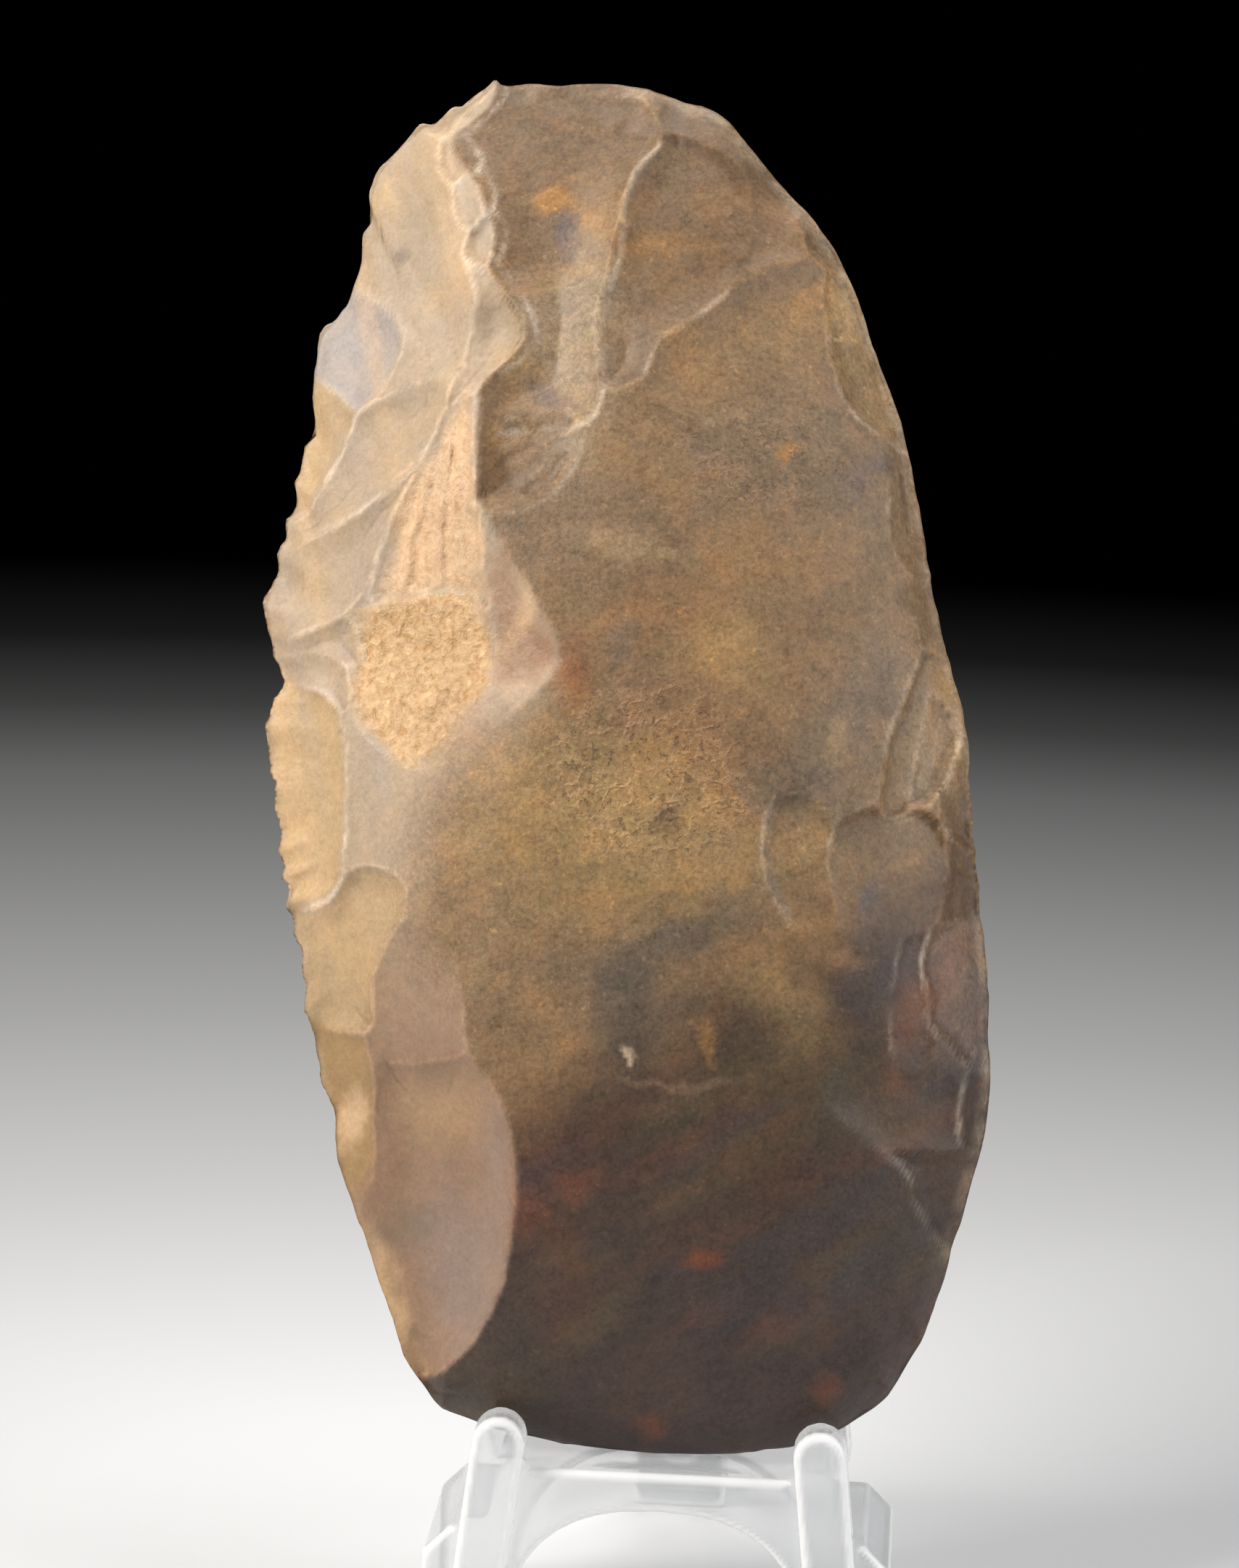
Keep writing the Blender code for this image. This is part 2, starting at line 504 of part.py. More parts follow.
def make_easel_front(axe, place):
    """Prongs, bridge and back rest, one moulding shaped to the stone it holds."""
    stone = edge_samples(axe)
    across = np.abs(stone[:, 0])
    prong_zone = (across > PRONG_SPREAD / 2 - PRONG_WIDTH) & (across < PRONG_SPREAD / 2 + PRONG_WIDTH)
    prong_zone &= stone[:, 2] < LEDGE_HEIGHT + PRONG_RISE + 2 * GAP
    lip = stone[prong_zone, 1].min() - GAP
    own = np.array([place.inverted() @ Vector(p) for p in stone])
    rest_zone = (across < REST_WIDTH_LOW / 2) & (own[:, 1] < REST_LENGTH + CORNER)
    depth = -own[rest_zone, 2].min() + GAP

    # the back rest starts inside the bridge and leans with the axe
    sink = 5.0 * MM
    start = -sink
    middle = (REST_MID_BAR - REST_BAR / 2, REST_MID_BAR + REST_BAR / 2)
    windows = [(REST_BAR, middle[0]), (middle[1], REST_LENGTH - REST_BAR)]
    loops = framed_loops(REST_WIDTH_LOW, REST_WIDTH_TOP, REST_LENGTH + sink, REST_BAR, windows, start)
    shift = Matrix.Translation((0.0, 0.0, -depth - REST_THICKNESS))
    ledge_rise = (LEDGE_HEIGHT - (place @ Vector((0.0, 0.0, -depth))).z) / cos(LEAN)
    along = Matrix.Translation((0.0, ledge_rise, 0.0))
    rest = plate("rest", loops, REST_THICKNESS, place @ along @ shift)
    rest_foot = (place @ along @ Vector((0.0, start, -depth - REST_THICKNESS))).y

    bridge_front = lip - PRONG_DEPTH / 2
    bridge_back = max(rest_foot + REST_THICKNESS / 2,
                      (place @ along @ Vector((0.0, 0.0, -depth - REST_THICKNESS))).y + EDGE_ROUND)
    bridge = plate("easel_front", [bridge_outline()], bridge_back - bridge_front,
                   upright(bridge_front))
    combine(bridge, rest)
    for side in (-1, 1):
        prong = plate("prong", [prong_outline(side)], PRONG_DEPTH, upright(lip - PRONG_DEPTH))
        combine(bridge, prong)
    rest_plane = place @ along @ Matrix.Translation((0.0, 0.0, -depth - REST_THICKNESS))
    return bridge, rest_plane


def make_rear_leg(rest_plane):
    """A slotted leg from behind the middle bar down to its foot on the table."""
    head = rest_plane @ Vector((0.0, REST_MID_BAR, 0.0))
    drop = head.z + LEG_WIDTH
    length = drop / sin(LEG_ANGLE)
    half = LEG_WIDTH / 2
    outer = [(-half, -length), (half, -length), (half, LEG_WIDTH), (-half, LEG_WIDTH)]
    slot_low = -(head.z - 2 * FOOT_HEIGHT) / sin(LEG_ANGLE)
    slot = [(-LEG_SLOT / 2, slot_low), (LEG_SLOT / 2, slot_low),
            (LEG_SLOT / 2, -LEG_WIDTH), (-LEG_SLOT / 2, -LEG_WIDTH)]
    # the leg's plane: its length runs up and forwards, its thickness points up and back
    place = Matrix(((1.0, 0.0, 0.0, 0.0),
                    (0.0, -cos(LEG_ANGLE), sin(LEG_ANGLE), head.y),
                    (0.0, sin(LEG_ANGLE), cos(LEG_ANGLE), head.z),
                    (0.0, 0.0, 0.0, 1.0)))
    leg = plate("easel_rear_leg", [outer, rounded(slot, LEG_SLOT / 2.2)], LEG_THICKNESS,
                place @ Matrix.Translation((0.0, 0.0, -LEG_THICKNESS / 2)))
    behind = (rest_plane.to_3x3() @ Vector((0.0, 0.0, -1.0))).normalized()
    trim(leg, rest_plane.translation + behind * GAP, -behind)
    foot_y = head.y + head.z / tan(LEG_ANGLE)
    block = [(foot_y - FOOT_LENGTH / 2, 0.0), (foot_y + FOOT_LENGTH / 2, 0.0),
             (foot_y + FOOT_LENGTH / 2, FOOT_HEIGHT), (foot_y - FOOT_LENGTH / 2, FOOT_HEIGHT)]
    side_on = Matrix(((0.0, 0.0, 1.0, -half), (1.0, 0.0, 0.0, 0.0), (0.0, 1.0, 0.0, 0.0),
                      (0.0, 0.0, 0.0, 1.0)))
    foot = plate("foot", [block], LEG_WIDTH, side_on)
    combine(leg, foot)
    trim(leg, Vector((0.0, 0.0, 0.0)), Vector((0.0, 0.0, -1.0)))
    return leg


def trim(piece, point, outwards):
    """Cuts off what lies beyond a plane and closes the cut."""
    mesh = bmesh.new()
    mesh.from_mesh(piece.data)
    cut = bmesh.ops.bisect_plane(mesh, geom=mesh.verts[:] + mesh.edges[:] + mesh.faces[:],
                                 plane_co=point, plane_no=outwards, clear_outer=True)
    rim = [e for e in cut["geom_cut"] if isinstance(e, bmesh.types.BMEdge)]
    bmesh.ops.triangle_fill(mesh, use_beauty=True, use_dissolve=False, edges=rim,
                            normal=outwards)
    bmesh.ops.recalc_face_normals(mesh, faces=mesh.faces)
    mesh.to_mesh(piece.data)
    mesh.free()


def finish(piece, colour, roughness, clear=False):
    material = bpy.data.materials.new(piece.name)
    material.use_nodes = True
    shader = material.node_tree.nodes["Principled BSDF"]
    shader.inputs["Base Color"].default_value = colour
    shader.inputs["Roughness"].default_value = roughness
    shader.inputs["Metallic"].default_value = 0.0
    if clear:
        shader.inputs["Transmission Weight"].default_value = 1.0
    piece.data.materials.clear()
    piece.data.materials.append(material)
    piece.data.shade_smooth()
    piece.data.set_sharp_from_angle(angle=radians(30.0))


def main():
    for old in list(bpy.data.objects):
        bpy.data.objects.remove(old)
    axe, place = make_axe()
    front, rest_plane = make_easel_front(axe, place)
    leg = make_rear_leg(rest_plane)
    pieces = [axe, front, leg]
    corners = np.array([v.co for piece in pieces for v in piece.data.vertices])
    low, high = corners.min(axis=0), corners.max(axis=0)
    centred = Matrix.Translation((-(low[0] + high[0]) / 2, -(low[1] + high[1]) / 2, -low[2]))
    for piece in pieces:
        piece.data.transform(centred)
    finish(axe, FLINT, 0.5)
    finish(front, CLEAR_PLASTIC, 0.08, clear=True)
    finish(leg, CLEAR_PLASTIC, 0.08, clear=True)


main()
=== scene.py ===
from math import cos, pi, radians, sin

import bpy
import numpy as np
from mathutils import Matrix, Vector


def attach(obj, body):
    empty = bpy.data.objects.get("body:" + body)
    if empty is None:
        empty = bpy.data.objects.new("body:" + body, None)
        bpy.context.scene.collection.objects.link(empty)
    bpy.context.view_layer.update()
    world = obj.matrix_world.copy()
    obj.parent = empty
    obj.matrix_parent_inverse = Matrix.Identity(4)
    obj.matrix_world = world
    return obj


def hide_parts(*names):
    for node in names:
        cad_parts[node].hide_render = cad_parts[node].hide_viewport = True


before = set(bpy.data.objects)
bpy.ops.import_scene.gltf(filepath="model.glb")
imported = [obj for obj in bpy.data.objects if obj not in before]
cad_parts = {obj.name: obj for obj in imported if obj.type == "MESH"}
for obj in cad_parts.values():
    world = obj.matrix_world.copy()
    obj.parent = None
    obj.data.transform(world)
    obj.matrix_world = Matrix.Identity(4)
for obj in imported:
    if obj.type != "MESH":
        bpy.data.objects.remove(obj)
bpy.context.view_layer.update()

mm = 0.001
print("frame loaded:", sorted(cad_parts))


def pickOnly(*pieces):
    bpy.ops.object.select_all(action="DESELECT")
    for piece in pieces:
        piece.select_set(True)
    if pieces:
        bpy.context.view_layer.objects.active = pieces[0]


def applyAll(piece):
    pickOnly(piece)
    for modifier in list(piece.modifiers):
        bpy.ops.object.modifier_apply(modifier=modifier.name)


# shader maths
class Wire:
    # one output of a node; arithmetic on it adds Math nodes
    def __init__(self, finish, socket):
        self.finish = finish
        self.socket = socket

    def maths(self, operation, *others, flip=False):
        inputs = [self, *others]
        if flip:
            inputs.reverse()
        return self.finish.node("ShaderNodeMath", {"operation": operation}, inputs)

    def __add__(self, other):
        return self.maths("ADD", other)

    def __sub__(self, other):
        return self.maths("SUBTRACT", other)

    def __rsub__(self, other):
        return self.maths("SUBTRACT", other, flip=True)

    def __mul__(self, other):
        return self.maths("MULTIPLY", other)

    def __truediv__(self, other):
        return self.maths("DIVIDE", other)

    __radd__ = __add__
    __rmul__ = __mul__


class Finish:
    # a material and the few calls that build its nodes
    def __init__(self, name):
        self.material = bpy.data.materials.new(name)
        self.material.use_nodes = True
        self.tree = self.material.node_tree
        self.shader = self.tree.nodes["Principled BSDF"]

    def connect(self, value, socket):
        if isinstance(value, Wire):
            self.tree.links.new(value.socket, socket)
        elif isinstance(value, tuple) and len(value) == 3 and socket.type == "RGBA":
            socket.default_value = (*value, 1.0)
        else:
            socket.default_value = value

    def node(self, kind, settings=None, inputs=(), out=0):
        made = self.tree.nodes.new(kind)
        for key, value in (settings or {}).items():
            if key == "stops":
                self.setStops(made.color_ramp, value)
            else:
                setattr(made, key, value)
        pairs = inputs.items() if isinstance(inputs, dict) else enumerate(inputs)
        for key, value in pairs:
            self.connect(value, made.inputs[key])
        return Wire(self, made.outputs[out])

    @staticmethod
    def setStops(ramp, stops):
        while len(ramp.elements) < len(stops):
            ramp.elements.new(0.5)
        for element, (place, shade) in zip(ramp.elements, stops):
            element.position = place
            element.color = (shade, shade, shade, 1.0)

    def coords(self):
        return self.node("ShaderNodeTexCoord", out="Object")

    def noise(self, where, scale, detail=4.0, rough=0.55, twist=0.0, out=0):
        values = {"Vector": where, "Scale": scale, "Detail": detail, "Roughness": rough,
                  "Distortion": twist}
        return self.node("ShaderNodeTexNoise", {}, values, out)

    def ramp(self, value, stops):
        return self.node("ShaderNodeValToRGB", {"stops": stops}, [value])

    def attribute(self, name, out="Fac"):
        return self.node("ShaderNodeAttribute", {"attribute_name": name}, out=out)

    def mix(self, share, first, second, blend="MIX"):
        # the Mix node's colour sockets are numbers 6 and 7, and its colour result is number 2
        return self.node("ShaderNodeMix", {"data_type": "RGBA", "blend_type": blend},
                         {0: share, 6: first, 7: second}, out=2)

    def scaled(self, colour, factor):
        return self.node("ShaderNodeVectorMath", {"operation": "SCALE"},
                         {"Vector": colour, "Scale": factor})

    def tinted(self, colour, share, tint):
        return self.mix(share, colour, self.mix(1.0, colour, tint, "MULTIPLY"))

    def bump(self, height, depth, strength):
        values = {"Strength": strength, "Distance": depth, "Height": height}
        return self.node("ShaderNodeBump", {}, values)

    def surface(self, **values):
        names = {"colour": "Base Color", "rough": "Roughness", "normal": "Normal",
                 "alpha": "Alpha", "sheen": "Specular IOR Level"}
        for key, value in values.items():
            self.connect(value, self.shader.inputs[names[key]])
        return self.material


def linear(red, green, blue):
    # a screen colour, 0 to 255, as the shader's own linear values
    return tuple(((c / 255 + 0.055) / 1.055) ** 2.4 if c > 10 else c / 255 / 12.92
                 for c in (red, green, blue))


# the stone
axeSpec = {
    "seat": (6.416, -23.867, 20.306),   # where u = v = w = 0 lies in the frame
    "lean": 14.0,
    "centre": (-10.0, 68.0),
    "halfSize": (37.0, 68.0),           # half the width and half the length
    "frontDome": (15.5, 2.5, 0.75),     # rise, and the two powers that give the curve its fullness
    "backDome": (13.5, 2.0, 0.8),
    "mostCut": (0.75, 0.7),             # the share of each dome that scars may take
    "flank": (0.85, 0.7),               # how it swells, and how it runs on past the crest
    "cutFade": 2.2,                     # the flank's scars have full depth from 1 / 2.2 of the climb
    "softCrest": (40.0, 50.0, 72.0, 80.0),
    "crestWidth": (0.25, 2.4),          # where it is sharp, and what the soft part adds
    "closing": 2.6,                     # the strip in which a face comes down to the edge
    "ripple": 0.03,
    "rippleLength": 2.6,
    "rimWave": 1.0,
    "radian": 52.0,                     # length of edge for each radian round the centre
    "evenWaves": 14,                    # an outline of so few waves is the even rim
    "leftOf": -22.0,                    # what lies left of this is the flank's rim
    "weld": 0.02,
    "gridAcross": 196,
    "gridUp": 364,
    # rows of scars on the back: how many, depth, inner end, width and unevenness
    "backRows": [(11, 2.2, 0.38, 1.25, 0.5), (26, 1.0, 0.80, 0.9, 0.1)],
    # rows of tiny scars along the edge: width, reach inwards, depth and seed
    "edgeScars": [(5.3, 3.6, 0.9, 1.0), (2.9, 2.0, 0.5, 2.0), (1.4, 1.0, 0.2, 3)],
    # how far they bite into the outline: width, bite and seed
    "edgeBites": [(5.3, 0.8, 1.0), (2.9, 0.2, 2.0)],
    "outline": [
        (-23.2, 136.5), (-22.2, 135.9), (-18, 135.9), (-13, 136.2), (-7.5, 136), (-3.5, 134.9),
        (0.2, 133.2), (3, 130.1), (7.5, 125.4), (11.2, 121.2), (14.2, 115.4), (16.6, 109.4),
        (19.1, 102.8), (20.9, 96), (22.6, 88), (24.5, 80.5), (27, 72.3), (28, 63),
        (29.1, 55), (30.4, 46), (30.7, 38), (30, 30.3), (27.6, 20), (24.6, 11.3),
        (20.5, 5.2), (13.1, 1.3), (5, 0.2), (-3, 0), (-11, 0.6), (-18.5, 2.1),
        (-23.7, 4.5), (-27.2, 10.8), (-30.2, 19.3), (-33.6, 28), (-36.5, 38),
        (-39.6, 51.3), (-41.7, 62), (-42.8, 71.4), (-42.4, 77), (-43.6, 82.5),
        (-42.2, 88.8), (-41, 96.5), (-39.9, 108.8), (-37.9, 111.9), (-36.9, 113.3),
        (-35.8, 117.2), (-35.8, 120), (-35, 121.8), (-35.4, 124.4), (-34.4, 126.8),
        (-32.7, 128.5), (-31.6, 129.7), (-30.5, 131.3), (-29.2, 131.5), (-27.5, 133.3),
        (-26.4, 133.6), (-25, 134.8), (-23.9, 135.8),
    ],
    # the crest between the steep left flank and the broad front, from the toe up
    "crest": [
        (-25.5, 0), (-24.2, 5.2), (-21.5, 7.3), (-18, 11.2), (-16.2, 15.5), (-15.3, 20.5),
        (-15.2, 28), (-16.6, 33.5), (-19.8, 38), (-21, 44), (-22, 52), (-21, 62),
        (-17.5, 70), (-13, 76.5), (-15.2, 81.5), (-17.4, 85.3), (-20, 89.5),
        (-21.9, 92.6), (-22.1, 100), (-22.2, 103.4), (-20, 106), (-18.3, 109.2),
        (-20.6, 113), (-22, 115.6), (-21.7, 119.4), (-23, 122.6), (-24.3, 125),
        (-26.9, 129.2), (-25, 131.8), (-23.3, 134), (-23, 137),
    ],
}
# flake scars: the border, the depth, how far in from the border the floor is reached, and where
# there is one, how the depth leans across and up the stone (1 takes it from nothing to double)
flankFlakes = [
    # the tall cream facet at the top left, and the narrow ones between it and the crest
    ([(-37, 115), (-31, 110), (-24, 104), (-23.2, 112), (-24.4, 118), (-25.6, 124), (-28, 129.5),
      (-31, 133), (-38, 128)], 1.5, 9, (-0.3, 0)),
    ([(-24.7, 117), (-22, 117), (-17, 109.4), (-20.5, 104.5), (-25.2, 101.5), (-24.5, 105.6),
      (-23.6, 109.5), (-23.4, 113)], 1.5, 3, (0.3, 0)),
    ([(-24.7, 116.5), (-22, 115.2), (-20.5, 119.5), (-22.3, 122), (-24.3, 120)], 1.2, 1.8),
    ([(-26.2, 121), (-24, 119.8), (-22, 123), (-24.5, 127), (-26.6, 125)], 0.8, 2),
    ([(-28.2, 126), (-26.2, 124.4), (-23.6, 126.6), (-26, 130.6), (-28.4, 129)], 0.9, 1.6),
    ([(-33, 133), (-28.5, 129.6), (-26.4, 129.8), (-22, 134.5), (-23, 138)], 1.2, 2.5),
    # the lilac facet, the golden wedge under it and the slanting ones below
    ([(-42, 112), (-37, 114.6), (-33, 113), (-30.5, 108.5), (-33, 102.5), (-36, 101.5),
      (-39.6, 105), (-44, 107)], 1.4, 4),
    ([(-43, 104.5), (-39.8, 105.6), (-35, 101.2), (-38, 95), (-40, 91.5), (-44, 96)], 1.3, 2.5),
    ([(-45, 92.5), (-40.5, 91), (-36.5, 97), (-34.5, 101.5), (-26, 104.5), (-26.5, 99),
      (-33, 92), (-38, 88.5), (-45, 86)], 1.2, 3.5, (-0.2, 0)),
    ([(-45, 88), (-39, 89), (-30, 94), (-23, 103.5), (-27.5, 97), (-31, 89.5), (-34, 82),
      (-41, 79), (-46, 80)], 1.1, 3, (-0.2, 0)),
    ([(-46, 81), (-40.5, 78.8), (-34.5, 80.5), (-33, 76), (-38, 77), (-45, 74)], 1, 2.4),
    ([(-45, 77.5), (-38.5, 78), (-34.5, 76), (-34.2, 72), (-36, 72), (-39.5, 74.5), (-45, 72)], 0.8, 2),
    # the orange cortex, in two steps
    ([(-23.5, 104), (-27, 98), (-29.5, 93), (-32, 85), (-32, 81.5), (-26, 82.5), (-20, 81.5),
      (-20.8, 86), (-21.6, 92)], 0.7, 1.6),
    ([(-34, 82.3), (-30, 83), (-25, 83.4), (-20, 82.2), (-19.6, 75), (-22.5, 69.5), (-26, 65.3),
      (-31, 68), (-33.8, 71.5), (-34.4, 77)], 0.5, 2.4),
    ([(-20.5, 90), (-18, 88.5), (-15.5, 84), (-12.5, 78), (-15, 73.5), (-20, 74), (-20.6, 82)],
     0.5, 2.5),
    # the golden scars of the left rim
    ([(-45, 74.5), (-39, 74), (-36.3, 73.2), (-34.7, 70.5), (-34.1, 66), (-33.8, 60),
      (-33.6, 55.4), (-35, 53.3), (-37.2, 52.2), (-44, 51)], 1.7, 2.8),
    ([(-44, 53), (-38, 51.8), (-35, 53), (-33.2, 55.7), (-31, 56.3), (-28, 55.3), (-26.8, 52.5),
      (-28.4, 48.3), (-29.8, 45), (-29.7, 40.6), (-33.8, 39.6), (-41, 40)], 1.6, 2.8),
    ([(-41, 41), (-34.5, 40.3), (-30.8, 39.6), (-29.8, 36), (-29.2, 30), (-29.5, 24.5),
      (-36, 21)], 1.3, 2.8),
    # the two broad scars of the lower left
    ([(-30.4, 47), (-27.3, 51), (-23, 50.2), (-20.9, 46), (-20.6, 41), (-21, 37), (-30.3, 36.5)],
     0.9, 3),
    ([(-30, 37.6), (-25.5, 38.2), (-20.8, 38.9), (-18.2, 36.3), (-16.2, 32.6), (-15, 28),
      (-15, 21), (-16.4, 14.2), (-18.6, 10.2), (-21.6, 7.2), (-26, 4), (-31, 10),
      (-36, 20), (-30.2, 27)], 2, 6, (0.1, 0)),
]
frontFlakes = [
    # the long hollow beside the crest, its strip at the top and the notch at its foot
    ([(-30, 134), (-26.5, 127), (-23.6, 120), (-23, 114), (-19, 109.5), (-22.6, 103.5),
      (-20, 99), (-12.2, 99.6), (-10.1, 103), (-10.8, 110), (-9.6, 116.5), (-9.2, 122),
      (-8.4, 125.8), (-5.6, 130.2), (-9, 135), (-16, 139), (-24, 139)], 2.8, 6.5),
    ([(-25, 139), (-24.5, 131.5), (-18, 133.4), (-12.8, 130.8), (-9, 134.2), (-7, 139)], 2, 5),
    ([(-22.3, 102.8), (-22.4, 92), (-20.6, 91), (-17, 91.2), (-13.2, 94), (-11.6, 98),
      (-13, 101), (-18, 102.8)], 1.4, 4.2, (-0.2, -0.2)),
    ([(-22.5, 100.8), (-20.8, 98.8), (-18.8, 96), (-18.2, 93.2), (-20.2, 92), (-22.6, 92.4)], 0.9, 2.4),
    ([(-18, 96.2), (-15.5, 97), (-12.6, 97.8), (-13.4, 94.6), (-16.4, 92.2), (-18, 92.8)],
     1.2, 1.3, (0, -0.2)),
    ([(-19.5, 102.5), (-17.4, 98.2), (-13.6, 98.4), (-12.5, 101), (-15, 102.8)], 1.6, 1.3),
    # the stacked facets right of it
    ([(-10.4, 114), (-9.8, 120), (-9.4, 124), (-5.6, 130.8), (-2.6, 130.6), (2.6, 128.4),
      (5.5, 122), (2, 116.6), (-4, 114)], 1.1, 3.4, (-0.7, 0)),
    ([(-11.4, 112), (-10.2, 120.6), (-4, 121.4), (1, 120.8), (3.5, 117.5), (1.6, 114.2), (-2, 110.8),
      (-4, 109.2), (-5.3, 107), (-6.4, 104.4), (-10.6, 103.5), (-11.2, 108)], 1.2, 3.6, (-0.5, 0)),
    ([(-6.6, 130.5), (-4.4, 137), (4, 134), (9, 126), (3, 124), (-1, 127.4)], 0.5, 4, (0, 0.3)),
    ([(-4.6, 108), (-1, 111.6), (1.6, 114), (6, 117.6), (11.6, 117.2), (11, 112), (12, 106),
      (10, 101.5), (5, 100.5), (-1, 101), (-5.8, 103.6)], 0.7, 4, (-0.4, 0.3)),
    ([(0.5, 115.6), (5, 117), (9, 118.6), (9, 122), (10, 126), (4, 128.5), (2, 124), (2, 119)],
     0.6, 3, (0.2, 0)),
    # the right rim from the top down
    ([(8.8, 119.4), (9, 121.6), (14, 124), (15, 118), (11.8, 117.4)], 1.5, 1.6),
    ([(12, 118), (10.9, 116), (11.2, 113), (11.8, 110.4), (14, 110), (20, 108), (18, 117)], 1.9, 1.8),
    ([(11.6, 110.6), (12.2, 107.2), (13.2, 104.6), (15, 102.6), (17.6, 101), (22, 99),
      (21, 109), (16, 112)], 1.7, 1.8),
    ([(18.9, 98.2), (19, 94.5), (19.8, 91), (20.6, 90.6), (20.6, 94), (19.7, 98.2)], 1.3, 0.7),
    ([(18.4, 99.5), (18.1, 95), (18.5, 90.8), (20, 87.8), (25, 85), (24, 100)], 0.9, 1.6),
    ([(20.9, 89), (20.6, 86), (21.3, 82.8), (22.4, 79.8), (27, 77), (27, 88)], 1, 1.8),
    ([(22.4, 80.2), (21.4, 78), (20.4, 74.5), (19.3, 71), (18.9, 67), (18.7, 63.2), (21, 62.8),
      (23.5, 66), (26, 70), (27, 75), (27, 79)], 1.5, 1, (-0.2, 0)),
    ([(22.4, 77), (24.5, 76.2), (26, 74.2), (26.4, 71), (25.6, 67.4), (23.8, 64.8), (21.4, 63.2),
      (20.4, 66), (21.6, 71)], 2.2, 2, (0.3, 0)),
    ([(24.2, 76.6), (26, 74.6), (26.4, 71.2), (25.8, 67.5), (24.6, 65.6), (26, 61), (33, 60),
      (32, 78)], 2.3, 1.8),
    ([(14, 60), (15, 62.6), (17.6, 64), (20, 63.8), (22.6, 64.4), (25.2, 62.4), (26, 58),
      (25, 53.5), (20, 50), (15.5, 52), (13.8, 57)], 0.8, 1.1, (0, 0.95)),
    ([(8.4, 64), (7.5, 60.5), (7.8, 57.4), (9, 54.6), (11, 51.8), (15, 53), (15.4, 58),
      (14.6, 62), (12, 64.5)], 0.6, 1.3, (-0.5, 0)),
    ([(25, 62.6), (27.8, 61), (33, 60), (33, 50), (26, 52), (25.4, 57)], 1.5, 1.5),
    ([(21.2, 51.6), (20.7, 47.5), (20.8, 42), (21.6, 38.4), (24.5, 38.6), (25, 43), (24, 48),
      (23.8, 52)], 0.5, 1.5, (0, 0.3)),
    ([(24, 51.8), (23.4, 48.6), (24.2, 45.8), (24.2, 43.6), (26.6, 41.6), (29, 39.5), (34, 39),
      (34, 54), (27, 54)], 1.5, 1),
    ([(29, 41), (28, 36.5), (28.4, 31.5), (34, 30), (35, 42)], 1.2, 1.2),
    ([(14.8, 35.6), (17.6, 32.6), (20.4, 30.4), (24, 30.3), (28.4, 31), (28.6, 36), (26, 39),
      (20.6, 41), (16, 41)], 0.7, 3.5, (0.3, -0.7)),
    ([(20.6, 30.6), (23.2, 28.4), (23.9, 25.8), (25, 23.8), (27, 21.2), (31, 20), (33, 30),
      (28, 31.2)], 1.1, 1.5),
    ([(19, 22.6), (24, 21), (28.4, 19.4), (27, 12), (22, 12), (17, 17)], 0.5, 3, (0.4, 0.6)),
]
# the cortex in the flank's list: its pleated part, its grainy part and its margin, each with the
# width of its soft border
crustFlakes = {12: 1.5, 13: 1.5, 14: 3.0}


def smoothCurve(points, closed, perSpan=24):
    # Catmull-Rom curve through the points
    p = np.array(points, float)
    t = np.linspace(0.0, 1.0, perSpan, endpoint=False)[:, None]
    count = len(p)
    spans = []
    for i in range(count if closed else count - 1):
        if closed:
            a, b, c, d = p[i - 1], p[i], p[(i + 1) % count], p[(i + 2) % count]
        else:
            a, b, c, d = p[max(i - 1, 0)], p[i], p[i + 1], p[min(i + 2, count - 1)]
        spans.append(0.5 * (2 * b + (c - a) * t + (2 * a - 5 * b + 4 * c - d) * t ** 2
                            + (3 * b - a - 3 * c + d) * t ** 3))
    return np.concatenate(spans)


def scarBorder(points):
    return smoothCurve(points, closed=True, perSpan=5)


def smoothStep(x, low, high):
    # from 0 at the low value to 1 at the high one, which may also be the smaller of the two
    t = np.clip((x - low) / (high - low), 0.0, 1.0)
    return t * t * (3.0 - 2.0 * t)


def grain(u, v, size, seed):
    # a smooth random field between -1 and 1
    x, y = u / size, v / size
    x0, y0 = np.floor(x), np.floor(y)
    fx, fy = x - x0, y - y0
    fx, fy = fx * fx * (3 - 2 * fx), fy * fy * (3 - 2 * fy)

    def corner(i, j):
        mixed = np.sin((x0 + i) * 127.1 + (y0 + j) * 311.7 + seed * 74.7) * 43758.5453
        return (mixed - np.floor(mixed)) * 2 - 1

    low = corner(0, 0) * (1 - fx) + corner(1, 0) * fx
    high = corner(0, 1) * (1 - fx) + corner(1, 1) * fx
    return low * (1 - fy) + high * fy


def layered(u, v, size, seed, layers=4):
    total = np.zeros_like(u)
    for k in range(layers):
        total += grain(u, v, size / 2 ** k, seed + 3 * k) / 2 ** k
    return total / 1.6


def dome(share, rise, power, fullness):
    # a height that falls from its rise in the middle to nothing at the rim
    return rise * (1.0 - share ** power) ** fullness


def wander(u, v):
    # a small drift of each point, which keeps the scars' borders from being even curves
    driftU = 0.35 * layered(u, v, 5.0, 1) + 0.14 * layered(u, v, 1.4, 3, 2)
    driftV = 0.35 * layered(u, v, 5.0, 2) + 0.14 * layered(u, v, 1.4, 4, 2)
    return u + driftU, v + driftV


def toSegment(u, v, start, end):
    # how far each point is from a straight piece of line
    du, dv = end[0] - start[0], end[1] - start[1]
    share = ((u - start[0]) * du + (v - start[1]) * dv) / max(du * du + dv * dv, 1e-12)
    share = np.clip(share, 0.0, 1.0)
    return np.hypot(u - start[0] - share * du, v - start[1] - share * dv)


def nearBox(u, v, line, room=0.0):
    low, high = line.min(0) - room, line.max(0) + room
    return ((u > low[0]) & (u < high[0]) & (v > low[1]) & (v < high[1])).nonzero()


